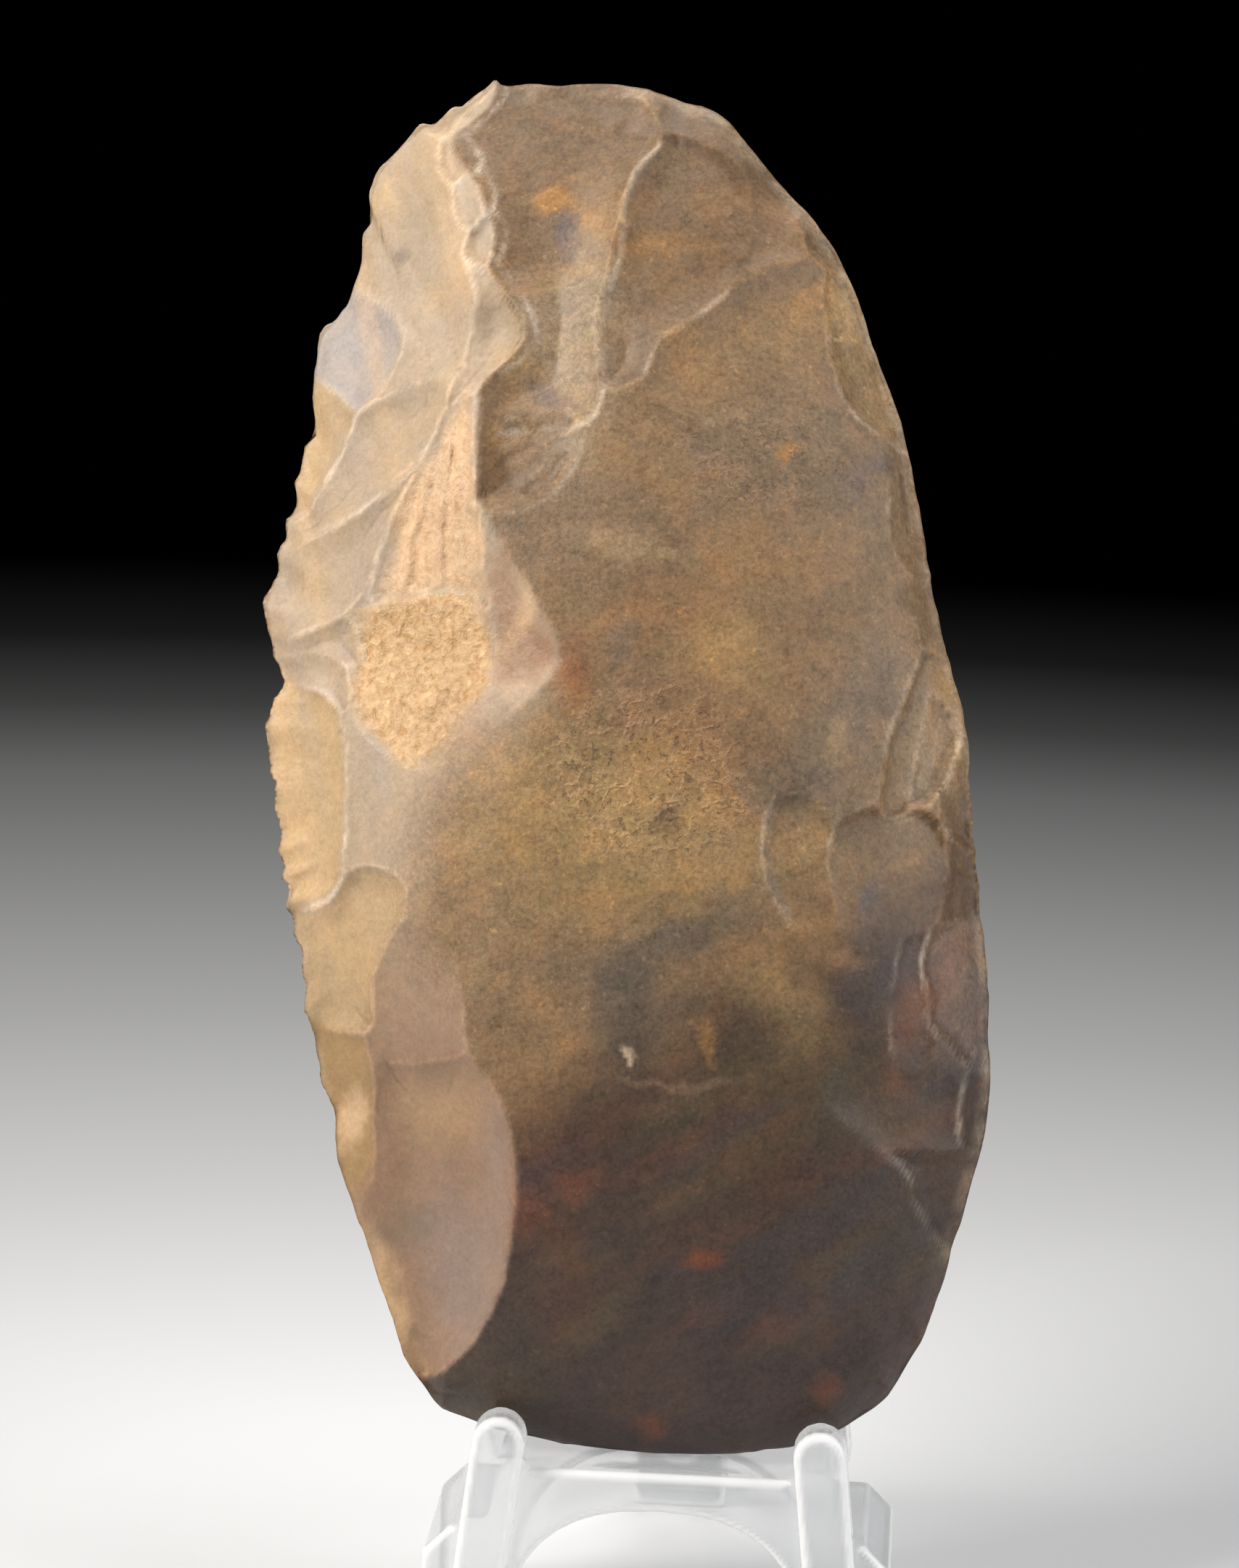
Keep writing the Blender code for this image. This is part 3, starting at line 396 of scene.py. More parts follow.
def insideBy(u, v, border):
    # how far inside a closed border each point lies, and nothing outside it
    near = nearBox(u, v, border)
    pu, pv = u[near], v[near]
    best = np.full(pu.shape, 1e9)
    inside = np.zeros(pu.shape, bool)
    for start, end in zip(np.roll(border, 1, axis=0), border):
        best = np.minimum(best, toSegment(pu, pv, start, end))
        if start[1] != end[1]:
            meets = (end[0] - start[0]) * (pv - start[1]) / (end[1] - start[1]) + start[0]
            inside ^= ((start[1] > pv) != (end[1] > pv)) & (pu < meets)
    distance = np.zeros_like(u)
    distance[near] = best * inside
    return distance


class Stone:
    # the two faces of the axe as heights over the plane of its rim
    def __init__(self, spec):
        self.spec = spec
        self.centre = spec["centre"]
        # the rim, as its reach from the centre at each angle
        self.rim = smoothCurve(spec["outline"], closed=True)
        arms = self.rim - np.array(self.centre)
        angle = np.arctan2(arms[:, 1], arms[:, 0])
        order = np.argsort(angle)
        self.angle = angle[order]
        self.reach = np.hypot(arms[:, 0], arms[:, 1])[order]
        # the even rim has only its first few waves and lies just outside it
        self.evenAngle = np.linspace(-pi, pi, 720, endpoint=False)
        waves = np.fft.rfft(self.rimReach(self.evenAngle))
        waves[spec["evenWaves"]:] = 0.0
        easy = np.fft.irfft(waves, len(self.evenAngle))
        self.easy = easy * (self.rimReach(self.evenAngle) / easy).max()
        crest = smoothCurve(spec["crest"], closed=False)
        self.crestU, self.crestV = crest[:, 0], crest[:, 1]
        # the flank's rim, evened out, with a point for each millimetre up the stone
        left = self.rim[self.rim[:, 0] < spec["leftOf"]]
        left = left[np.argsort(left[:, 1])]
        self.leftV = np.arange(0.0, 2 * spec["halfSize"][1] + 2)
        window = np.hanning(11)
        padded = np.pad(np.interp(self.leftV, left[:, 1], left[:, 0]), len(window) // 2, "edge")
        self.leftU = np.convolve(padded, window / window.sum(), "valid")
        self.backScars = backFlakes(self)

    def rimReach(self, angle):
        return np.interp(angle, self.angle, self.reach, period=2 * pi)

    def easyReach(self, angle):
        return np.interp(angle, self.evenAngle, self.easy, period=2 * pi)

    def crestAt(self, v):
        return np.interp(v, self.crestV, self.crestU)

    def spread(self, u, v):
        # angle round the centre, and the share of the way out to the rim and to the even rim
        du, dv = u - self.centre[0], v - self.centre[1]
        angle = np.arctan2(dv, du)
        out = np.hypot(du, dv)
        rimShare = np.clip(out / self.rimReach(angle), 0.0, 1.0)
        return angle, rimShare, np.clip(out / self.easyReach(angle), 0.0, 1.0)

    def cuts(self, u, v, flakes, ripple=0.0):
        # the deepest cut at each point, with faint waves that spread from its start at the rim
        deepest = np.zeros_like(u)
        waves = np.zeros_like(u)
        for points, deep, ramp, *leans in flakes:
            lean = leans[0] if leans else (0, 0)
            border = scarBorder(points)
            low, high = border.min(0), border.max(0)
            distance = insideBy(u, v, border)
            inward = np.clip(distance / ramp, 0.0, 1.0)
            du = (2 * u - low[0] - high[0]) / (high[0] - low[0])
            dv = (2 * v - low[1] - high[1]) / (high[1] - low[1])
            depth = deep * (1 - (1 - inward) ** 2) * np.clip(1 + lean[0] * du + lean[1] * dv, 0, 2)
            if ripple:
                arms = np.array(points) - np.array(self.centre)
                start = points[int(np.argmax(np.hypot(arms[:, 0], arms[:, 1])))]
                away = np.hypot(u - start[0], v - start[1])
                turns = (away + 0.02 * away ** 2) / self.spec["rippleLength"]
                wave = np.sin(2 * pi * turns + deep * 9) * inward
                waves = np.where(depth > deepest, wave, waves)
            deepest = np.maximum(deepest, depth)
        return deepest + ripple * waves

    def front(self, u, v, ripple=0.0):
        spec = self.spec
        angle, rimShare, easyShare = self.spread(u, v)
        broad = dome(easyShare, *spec["frontDome"])
        crestU = self.crestAt(v)
        crestHeight = dome(self.spread(crestU, v)[2], *spec["frontDome"])
        leftU = np.interp(v, self.leftV, self.leftU)
        climb = np.clip((u - leftU) / np.maximum(crestU - leftU, 1.0), 0.0, 1.0)
        swell, past = spec["flank"]
        flank = crestHeight * climb ** swell + np.maximum(u - crestU, 0.0) * past
        bentU, bentV = wander(u, v)
        flankCut = self.cuts(bentU, bentV, flankFlakes, ripple)
        flank = flank - flankCut * (1.0 - (1.0 - np.clip(climb * spec["cutFade"], 0.0, 1.0)) ** 2)
        broadCut = self.cuts(bentU, bentV, frontFlakes, ripple)
        broad = broad - np.minimum(broadCut, spec["mostCut"][0] * broad)
        a, b, c, d = spec["softCrest"]
        fade = smoothStep(v, a, b) * (1.0 - smoothStep(v, c, d))
        soft = spec["crestWidth"][0] + spec["crestWidth"][1] * fade
        share = np.clip(0.5 - 0.5 * (flank - broad) / soft, 0.0, 1.0)
        lower = broad * (1.0 - share) + flank * share - soft * share * (1.0 - share)
        return np.maximum(lower, 0.0) * self.closing(angle, rimShare)

    def back(self, u, v, ripple=0.0):
        angle, rimShare, easyShare = self.spread(u, v)
        swell = dome(easyShare, *self.spec["backDome"])
        bentU = u + 0.5 * layered(u, v, 7.0, 31)
        bentV = v + 0.5 * layered(u, v, 7.0, 32)
        cut = self.cuts(bentU, bentV, self.backScars, ripple)
        swell -= np.minimum(cut, self.spec["mostCut"][1] * swell)
        return swell * self.closing(angle, rimShare)

    def closing(self, angle, rimShare):
        # brings a face down to the edge over the last few millimetres
        fromRim = (1.0 - rimShare) * self.rimReach(angle)
        return np.sqrt(1.0 - (1.0 - np.clip(fromRim / self.spec["closing"], 0.0, 1.0)) ** 2)


def backFlakes(stone):
    # large scars from the rim to the middle of the back, and a row of small ones on the rim
    flakes = []
    for count, deep, inner, wide, uneven in stone.spec["backRows"]:
        for i in range(count):
            middle = 2 * pi * (i + 0.3 * sin(2.4 * i + count)) / count
            half = wide * pi / count * (1 + 0.25 * sin(3.7 * i))
            end = inner * (1 + uneven * sin(5.1 * i + 1.0))
            points = []
            for turn, share in ((-1.1, 1.12), (0, 1.2), (1.1, 1.12), (0.9, 0.75), (0.45, end + 0.1),
                                (0, end), (-0.45, end + 0.1), (-0.9, 0.75)):
                share = max(share, end + 0.05) if share < 1 else share
                angle = middle + turn * half
                out = share * float(stone.easyReach(angle))
                points.append((stone.centre[0] + out * cos(angle),
                               stone.centre[1] + out * sin(angle)))
            flakes.append((points, deep * (1 + 0.2 * sin(3.1 * i)), 2.4 + 4 * (1 - inner)))
    return flakes


def bites(along, size, seed):
    # a row of bites of uneven strength along the edge: the chance of each and its bowl
    cell = along / size + 0.4 * np.sin(along / 7.0 + seed)
    number = np.floor(cell)
    chance = np.abs(np.sin(number * 12.9898 + seed * 78.233) * 43758.5453) % 1.0
    return chance, 1.0 - (2.0 * (cell - number) - 1.0) ** 2


def retouch(stone, u, v):
    # rows of tiny scars all round the edge, as a depth
    angle, rimShare = stone.spread(u, v)[:2]
    fromRim = (1.0 - rimShare) * stone.rimReach(angle)
    depth = np.zeros_like(u)
    for size, inward, deep, seed in stone.spec["edgeScars"]:
        chance, bowl = bites(angle * stone.spec["radian"], size, seed)
        reach = inward * (0.35 + chance)
        one = deep * (0.2 + chance) * bowl * np.clip(1.0 - fromRim / reach, 0.0, 1.0) ** 0.7
        depth = np.maximum(depth, one)
    return depth


def nicks(stone, angle):
    # how far the same scars bite into the outline, mostly on the left
    along = angle * stone.spec["radian"]
    inward = 1.2 * np.clip(layered(along, along * 0.0, 7.0, 87, 5), 0, 1) - 0.1
    for size, deep, seed in stone.spec["edgeBites"]:
        chance, bowl = bites(along, size, seed)
        inward += deep * chance ** 1.5 * bowl
    return inward * (0.35 + 0.65 * smoothStep(-np.cos(angle), 0.0, 0.5))


def ragged(u, v):
    # a stronger drift, for the borders of the cortex
    return u + 1.5 * layered(u, v, 3.5, 65, 4), v + 1.5 * layered(u, v, 3.5, 66, 4)


def crusts(u, v):
    # how far each point lies on the cortex: its pleated part, its grainy part and its margin
    masks = []
    for number, soft in crustFlakes.items():
        border = scarBorder(flankFlakes[number][0])
        masks.append(np.clip(insideBy(*ragged(u, v), border) / soft, 0, 1))
    return masks


def skin(u, v):
    # the front's finer relief: a soft swell everywhere, pleats and grit on the cortex
    height = 0.20 * layered(u, v, 14.0, 61) + 0.05 * layered(u, v, 2.6, 62)
    onUpper, onLower, onMargin = crusts(u, v)
    turn = np.arctan2(u + 24.0, 109.0 - v) + 0.03 * layered(u, v, 4.0, 64)
    pleats = np.sin(turn * 52.0) + 0.6 * np.sin(turn * 87.0 + 1.0)
    height += 0.17 * pleats * onUpper * smoothStep(-v, -103, -96)
    grains = np.abs(layered(u, v, 2.4, 63, 3)) + 0.5 * layered(u, v, 1.1, 67, 2)
    strands = layered(0.36 * (u + v), v - u, 2.2, 69, 3)
    rough = np.maximum(onLower, np.maximum(0.35 * onUpper, 0.5 * onMargin))
    height += (0.5 * (grains - 0.3) + 0.25 * strands) * rough
    # fine lines fan down the tall facet at the top left
    fan = np.arctan2(u + 20.0, v - 96.0)
    onTall = smoothStep(v, 103, 110) * (1 - smoothStep(v, 126, 132)) * smoothStep(-u, 22, 25)
    height += 0.05 * np.sin(fan * 95.0 + 2.0 * layered(u, v, 6.0, 68)) * onTall
    return height


def weave(stone, angle, rimShare):
    # the edge weaves in and out of its plane
    waves = np.sin(2 * angle + 0.6) + 0.5 * np.sin(5 * angle)
    small = np.sin(23 * angle + 1.0) + 0.7 * np.sin(37 * angle)
    return stone.spec["rimWave"] * (rimShare ** 3 * waves + 0.4 * rimShare ** 12 * small)


def place(stone, u, v, w):
    # from the stone's own millimetres to the frame's metres
    seat, lean = stone.spec["seat"], radians(stone.spec["lean"])
    x = seat[0] + u
    y = seat[1] + v * sin(lean) - w * cos(lean)
    z = seat[2] + v * cos(lean) + w * sin(lean)
    return np.stack([x, y, z], -1) * mm


def bend(face, u, v, step=0.3):
    # how sharply a face bends at each point, above zero on a ridge and below it in a groove
    around = sum(face(u + i, v + j) for i, j in ((step, 0), (-step, 0), (0, step), (0, -step)))
    return (4 * face(u, v) - around) / step ** 2


def unitSheet(name, across, up, fine):
    # a flat square grid; the coarse one still has the fine one's points along its edge
    step = 1 if fine else 2
    bpy.ops.mesh.primitive_grid_add(x_subdivisions=across // step, y_subdivisions=up // step, size=2)
    sheet = bpy.context.object
    sheet.name = name
    if not fine:
        bpy.ops.object.mode_set(mode="EDIT")
        bpy.ops.mesh.select_mode(type="EDGE")
        bpy.ops.mesh.select_all(action="DESELECT")
        bpy.ops.mesh.select_non_manifold(extend=False)
        bpy.ops.mesh.subdivide(number_cuts=1, quadcorner="INNERVERT")
        bpy.ops.object.mode_set(mode="OBJECT")
    return sheet


def layOut(stone, sheet):
    # the sheet's points over the stone's outline, their angle and their share of the reach
    flat = np.zeros(len(sheet.data.vertices) * 3)
    sheet.data.vertices.foreach_get("co", flat)
    a, b = flat[0::3], flat[1::3]
    x, y = a * np.sqrt(1 - b * b / 2), b * np.sqrt(1 - a * a / 2)
    share = np.hypot(x, y)
    # the disc is stretched first, so that its points spread evenly over a long stone
    halfWidth, halfLength = stone.spec["halfSize"]
    angle = np.arctan2(y * halfLength, x * halfWidth)
    reach = stone.rimReach(angle)
    u = stone.centre[0] + share * reach * np.cos(angle)
    v = stone.centre[1] + share * reach * np.sin(angle)
    return u, v, angle, share


def frontMarks(stone, u, v):
    # where the front is cortex, calm flank or veined, each from nothing to one
    onUpper, onLower, onMargin = crusts(u, v)
    crust = np.maximum(onLower, np.maximum(0.6 * onUpper, 0.5 * onMargin))
    calm = flankShare(stone, u, v) * (1 - crust)
    veins = 1 - smoothStep(np.hypot((u + 3.0) / 13.0, (v - 66.0) / 11.0), 0.4, 1.1)
    hackles = 1 - smoothStep(np.hypot((u - 6.0) / 11.0, (v - 97.0) / 7.0), 0.3, 1.1)
    return {"crust": crust, "calm": calm, "veins": np.maximum(veins, 0.6 * hackles)}


def makeHalf(stone, name, side):
    spec = stone.spec
    half = unitSheet(name, spec["gridAcross"], spec["gridUp"], fine=side > 0)
    u, v, angle, share = layOut(stone, half)
    face = stone.front if side > 0 else stone.back
    height = face(u, v, spec["ripple"])
    bent = bend(face, u, v)
    height = np.maximum(height - retouch(stone, u, v) * np.clip(height, 0, 1), 0.0)
    if side > 0:
        colour = frontColour(stone, u, v)
        height += skin(u, v) * np.clip(height / 3.0, 0, 1)
        marks = frontMarks(stone, u, v)
    else:
        colour = backColour(u, v)
        marks = dict.fromkeys(("crust", "calm", "veins"), np.zeros_like(u))
    # ridges, which the finish paints pale as wear and with a painted highlight, and grooves, which it
    # darkens with painted shade
    marks["arris"] = smoothStep(bent, 0.364, 2.18)
    marks["hollow"] = smoothStep(-bent, 0.273, 2.18)
    drawnIn = nicks(stone, angle) * share ** 14
    points = place(stone, u - drawnIn * np.cos(angle), v - drawnIn * np.sin(angle),
                   weave(stone, angle, share) + side * height)
    half.data.vertices.foreach_set("co", points.ravel())
    layer = half.data.attributes.new("tone", "FLOAT_COLOR", "POINT")
    layer.data.foreach_set("color", np.column_stack([colour, np.ones(len(u))]).ravel())
    for key, value in marks.items():
        half.data.attributes.new(key, "FLOAT", "POINT").data.foreach_set("value", value)
    return half


def makeAxe(stone):
    halves = [makeHalf(stone, name, side) for name, side in (("axe", 1), ("axeBack", -1))]
    pickOnly(*halves)
    bpy.ops.object.join()
    axe = bpy.context.object
    bpy.ops.object.mode_set(mode="EDIT")
    bpy.ops.mesh.select_all(action="SELECT")
    bpy.ops.mesh.remove_doubles(threshold=stone.spec["weld"] * mm)
    bpy.ops.mesh.normals_make_consistent(inside=False)
    bpy.ops.object.mode_set(mode="OBJECT")
    axe.data.shade_smooth()
    axe.name = "axe_stone"
    return axe


tones = {
    "cream": linear(194, 169, 141),
    "lilac": linear(180, 169, 163),
    "gold": linear(214, 178, 130),
    "orange": linear(228, 188, 140),
    "peach": linear(236, 196, 154),
    "straw": linear(232, 196, 144),
    "sand": linear(198, 166, 124),
    "olive": linear(96, 84, 58),
    "ink": linear(60, 58, 66),
    "tan": linear(146, 116, 84),
    "umber": linear(124, 98, 72),
    "bark": linear(98, 72, 47),
    "ochre": linear(174, 140, 93),
    "dark": linear(72, 57, 49),
    "plum": linear(64, 50, 48),
    "rust": linear(138, 76, 46),
    "blueGrey": linear(92, 84, 76),
    "pinkTan": linear(156, 124, 99),
    "rose": linear(172, 134, 108),
    "mauve": linear(158, 142, 134),
    "stain": linear(176, 128, 72),
    "smoke": linear(128, 110, 92),
    # painted light, for the floor of the long hollow beside the crest
    "paintedLightStrip": linear(182, 157, 126),
    "spotBlue": linear(102, 94, 98),
    # the pale of edge wear together with a painted highlight on the scars' edges
    "edgeWearAndHighlight": linear(226, 210, 190),
}
# colour inside a scar: its number in the flank's or the front's list, the tone and its strength
flankTones = [
    (6, "lilac", 0.8), (7, "gold", 0.7), (12, "peach", 0.9), (13, "orange", 1.0), (14, "rose", 0.7),
    (15, "gold", 0.8), (16, "sand", 0.8), (17, "ochre", 0.75), (18, "pinkTan", 0.3),
    (19, "pinkTan", 0.8),
]
frontTones = [
    (0, "umber", 0.7), (1, "umber", 0.7), (3, "bark", 0.5), (6, "umber", 0.9), (7, "umber", 0.8),
    (8, "bark", 0.6), (10, "umber", 0.4), (12, "gold", 0.4), (13, "ochre", 0.5),
    (18, "mauve", 0.4), (24, "mauve", 0.3),
]
# loose colour: middle u and v, half length, half width, turn, tone, strength, softness; the
# first lie under the scars' own colours and the others over them
groundPatches = [
    (3.5, 78, 3.5, 4, 0, "ochre", 0.6, 0.6),
    (-9, 61, 8, 15, 10, "ochre", 0.75, 0.7),
    (-12, 57, 3, 6, 30, "olive", 0.2, 0.9),
    (-2, 54, 2, 6, 25, "olive", 0.25, 0.9),
    (3, 88, 3, 5, 40, "smoke", 0.25, 0.9),
    (10, 96, 6, 9, 0, "smoke", 0.25, 0.8),
    (16, 74, 9, 4, 35, "smoke", 0.7, 0.7),
    (10, 67, 4, 4, 0, "smoke", 0.5, 0.8),
    (1, 50.5, 2.2, 10, -32, "blueGrey", 0.7, 0.8),
    (-4.8, 44, 7, 3, 10, "blueGrey", 0.7, 0.8),
    (-10, 48, 3, 4, 10, "blueGrey", 0.35, 0.8),
    (12, 58, 5, 4, 0, "ochre", 0.4, 0.7),
]
spotPatches = [
    # two strips of painted light on the long hollow's floor, lightening it where the crest casts its
    # shade
    (-12, 108, 12, 2.6, 3, "paintedLightStrip", 0.65, 0.95),
    (-15.5, 107.5, 6, 3.5, 0, "paintedLightStrip", 0.6, 0.95),
    (-5, 119.4, 1.2, 5.5, 0, "stain", 0.4, 0.9),
    (-12.5, 121.5, 1.6, 2.4, 0, "stain", 0.5, 0.6),
    (-16.5, 123.4, 1.3, 2.2, 0, "stain", 0.8, 0.4),
    (-14.6, 120.6, 2, 1.2, -35, "spotBlue", 0.6, 0.7),
    (-13.8, 117.4, 1.2, 1.2, 0, "spotBlue", 0.4, 0.7),
    (-15.2, 103, 1.2, 1.8, 30, "spotBlue", 0.6, 0.7),
    (14.3, 96.5, 1.4, 1.4, 0, "spotBlue", 0.4, 0.8),
    (17, 98, 1, 1.2, 0, "spotBlue", 0.4, 0.8),
    (0.8, 98.2, 1.5, 1.2, 0, "smoke", 0.7, 0.7),
    (8.8, 98, 1.2, 0.8, 35, "stain", 0.6, 0.5),
    (-11.5, 74.8, 3, 1.6, 0, "rust", 0.5, 0.8),
    (-6.3, 79, 2, 1.2, 0, "smoke", 0.7, 0.8),
    (-2.2, 61.8, 1, 1.2, 0, "dark", 0.6, 0.5),
    (-8.5, 26.5, 1.4, 2.6, -30, "rust", 0.35, 0.8),
    (3.3, 19.7, 1.3, 1.9, 0, "rust", 0.7, 0.6),
    (-14, 23.5, 2, 1.6, 0, "rust", 0.35, 0.8),
    (21.8, 37.5, 1.6, 1.6, 0, "rust", 0.4, 0.8),
    (15.8, 7.5, 1.2, 1.6, 0, "rust", 0.35, 0.8),
    (-1.5, 2.5, 1.2, 1.2, 0, "rust", 0.35, 0.8),
    (3, 39.8, 1.8, 0.6, -30, "stain", 0.5, 0.8),
    (18.6, 54.8, 1.6, 1, 20, "spotBlue", 0.55, 0.8),
    (15.8, 49.8, 0.8, 2.2, 10, "pinkTan", 0.5, 0.8),
    (14.5, 71, 2.5, 0.8, 20, "sand", 0.3, 0.8),
    (-5, 38.2, 0.9, 0.35, -20, "cream", 0.9, 0.4),
    (0, 36.6, 7, 0.3, 86, "pinkTan", 0.35, 0.5),
    (-11, 18, 9, 2.5, -10, "rust", 0.12, 0.9),
    (10, 45, 5, 3, -40, "ochre", 0.45, 0.9),
    (26, 47, 7, 3, 0, "pinkTan", 0.45, 0.9),
    (23.5, 69, 9, 3, 8, "sand", 0.4, 0.9),
    (22, 35, 3, 4, 0, "umber", 0.3, 0.9),
    (25.5, 47, 4.5, 2, 20, "rust", 0.35, 0.8),
    (21.5, 44, 4.5, 1.2, 5, "rust", 0.3, 0.8),
    (-0.5, 70, 5, 8, 20, "rust", 0.14, 0.9),
    (-3.5, 83, 4, 4, 0, "rust", 0.12, 0.9),
    (-6.5, 88, 1.2, 4.5, 10, "sand", 0.35, 0.6),
]
# more of it, kept to the left flank
flankPatches = [
    (-26.5, 21, 2, 3.4, -30, "smoke", 0.5, 0.8),
    (-20.5, 16, 9, 3.6, -14, "mauve", 0.5, 0.8),
    (-17.2, 26, 8, 1.8, 0, "mauve", 0.35, 0.8),
    (-32, 31, 2.8, 1.4, 0, "peach", 0.75, 0.8),
    (-28, 14, 7, 1.4, -24, "orange", 0.6, 0.9),
    (-23, 33, 3, 4, 0, "gold", 0.3, 0.9),
    (-37.5, 86, 4, 3.5, 0, "sand", 0.5, 0.8),
    (-36, 92, 6, 2, -40, "gold", 0.4, 0.8),
    (-31, 124, 7, 4, 15, "sand", 0.35, 0.9),
    (-33.8, 124, 1.6, 1.2, 0, "straw", 0.5, 0.7),
    (-31.6, 117.6, 0.8, 0.5, 0, "smoke", 0.6, 0.6),
    (-28.6, 113.5, 1.5, 0.7, 5, "gold", 0.5, 0.8),
    (-36.5, 110.5, 3, 1.5, -30, "lilac", 0.6, 0.8),
    (-22, 69, 5, 4, 10, "rose", 0.35, 0.9),
    (-16, 82, 4, 0.8, 25, "peach", 0.6, 0.9),
    (-14.5, 77, 1.6, 1.4, 0, "rust", 0.3, 0.9),
]
# pale edges, from wear and a painted highlight, where one scar cuts another: the scar's number
# in its list, the first and last of its border's points that the edge follows, and its strength
flankEdges = [
    (0, 1, 7, 0.25), (1, 1, 4, 0.5), (2, 0, 3, 0.5), (3, 1, 3, 0.5), (4, 1, 3, 0.5), (5, 1, 4, 0.4),
    (6, 1, 4, 0.3), (7, 1, 3, 0.4), (8, 1, 4, 0.4), (9, 1, 4, 0.5), (10, 1, 4, 0.4),
    (12, 0, 4, 0.3), (13, 0, 4, 0.4), (15, 1, 8, 0.55), (16, 1, 6, 0.25),
]
frontEdges = [
    (0, 6, 13, 0.35), (7, 5, 9, 0.25), (13, 0, 5, 0.25), (15, 1, 4, 0.25), (17, 0, 6, 0.35),
    (18, 3, 7, 0.3), (19, 1, 5, 0.3), (20, 0, 3, 0.2), (21, 0, 4, 0.2), (23, 0, 3, 0.2),
    (24, 0, 6, 0.35), (25, 0, 3, 0.3), (27, 0, 5, 0.2),
]


def blend(colour, tone, share):
    colour += (np.array(tones[tone]) - colour) * share[:, None]


def edgeOn(colour, u, v, points, strength):
    # a thin pale line along a run of points, edge wear with a painted highlight, missing in places
    line = smoothCurve(points, closed=False, perSpan=5)
    near = nearBox(u, v, line, 1.0)
    best = np.full(near[0].shape, 1e9)
    for start, end in zip(line, line[1:]):
        best = np.minimum(best, toSegment(u[near], v[near], start, end))
    share = np.zeros_like(u)
    share[near] = 1.0 - smoothStep(best, 0.05, 0.5)
    kept = smoothStep(layered(u, v, 2.4, 93, 4), -0.6, 0.7)
    blend(colour, "edgeWearAndHighlight", share * kept * strength)


def patchOn(colour, u, v, patch, where=1.0):
    c, s = cos(radians(patch[4])), sin(radians(patch[4]))
    du, dv = u - patch[0], v - patch[1]
    share = np.hypot((du * s + dv * c) / patch[2], (du * c - dv * s) / patch[3])
    mask = 1.0 - smoothStep(share, 1.0 - patch[7], 1.0 + patch[7])
    blend(colour, patch[5], mask * patch[6] * where)


def streaks(u, v, size, seed):
    # a random field drawn out from the lower left to the upper right
    return layered((0.85 * u + 0.53 * v) * 0.28, 0.85 * v - 0.53 * u, size, seed)


def flankShare(stone, u, v):
    # one on the left flank and nothing on the broad front, with a soft part in mid height
    crestU = stone.crestAt(v)
    share = smoothStep(crestU - u + 0.3 * layered(u, v, 2.0, 41), -0.5, 0.5)
    fade = smoothStep(v, 40, 50) * (1 - smoothStep(v, 66, 78))
    return share * (1 - fade * (1 - smoothStep(crestU - u, 0, 9)))


def frontColour(stone, u, v):
    ru = u + 1.3 * layered(u, v, 7.0, 11) + 0.9 * layered(u, v, 1.8, 12)
    rv = v + 1.3 * layered(u, v, 7.0, 21) + 0.9 * layered(u, v, 1.8, 22)
    colour = np.tile(np.array(tones["tan"]), (len(u), 1))
    low = smoothStep(rv - 0.55 * ru + 8 * streaks(u, v, 9.0, 71), 54, 34)
    blend(colour, "ochre", smoothStep(streaks(u, v, 14.0, 75), 0.0, 0.6) * 0.35 * (1 - low))
    blend(colour, "smoke", smoothStep(streaks(u, v, 12.0, 76), 0.1, 0.6) * 0.3 * (1 - low))
    for patch in groundPatches:
        patchOn(colour, ru, rv, patch)
    blend(colour, "dark", low * 0.96)
    blend(colour, "plum", smoothStep(rv, 26, 8) * 0.6)
    for tone, size, seed, strength in (("olive", 7.0, 72, 0.32), ("rust", 5.0, 73, 0.15),
                                       ("ink", 6.0, 74, 0.4)):
        blend(colour, tone, smoothStep(streaks(u, v, size, seed), 0.12, 0.6) * strength * low)
    onFlank = flankShare(stone, u, v)
    blend(colour, "pinkTan", onFlank)
    blend(colour, "cream", onFlank * smoothStep(rv, 30, 60))
    bent = wander(u, v)
    for number, tone, strength in flankTones:
        at, soft = (ragged(u, v), 1.6) if number in crustFlakes else (bent, 0.8)
        inside = np.clip(insideBy(*at, scarBorder(flankFlakes[number][0])) / soft, 0, 1)
        blend(colour, tone, inside * strength * onFlank)
    for number, tone, strength in frontTones:
        inside = np.clip(insideBy(*bent, scarBorder(frontFlakes[number][0])) / 0.8, 0, 1)
        blend(colour, tone, inside * strength * (1 - onFlank))
    for patch in spotPatches:
        patchOn(colour, ru, rv, patch)
    for patch in flankPatches:
        patchOn(colour, ru, rv, patch, onFlank)
    # long pale and bluish veils on the flank
    veil = layered(0.97 * u + 0.24 * v, 0.14 * (0.97 * v - 0.24 * u), 3.4, 77, 5)
    onLower, onMargin = crusts(u, v)[1:]
    bare = smoothStep(onLower + onMargin, 1, 0)
    veil = veil * smoothStep(v, 40, 60) * onFlank * bare
    blend(colour, "peach", smoothStep(veil, 0.0, 0.6) * 0.3)
    blend(colour, "lilac", smoothStep(-veil, 0.0, 0.6) * 0.25)
    for flakes, edges in ((flankFlakes, flankEdges), (frontFlakes, frontEdges)):
        for number, first, last, strength in edges:
            edgeOn(colour, *bent, flakes[number][0][first:last + 1], strength)
    # the thin edge itself is painted pale, as wear and as a painted highlight
    atRim = smoothStep(stone.spread(u, v)[1], 0.965, 0.99) * smoothStep(v, 12, 40)
    blend(colour, "cream", atRim * smoothStep(layered(u, v, 3.0, 95, 3), -0.5, 0.4) * 0.45)
    return colour


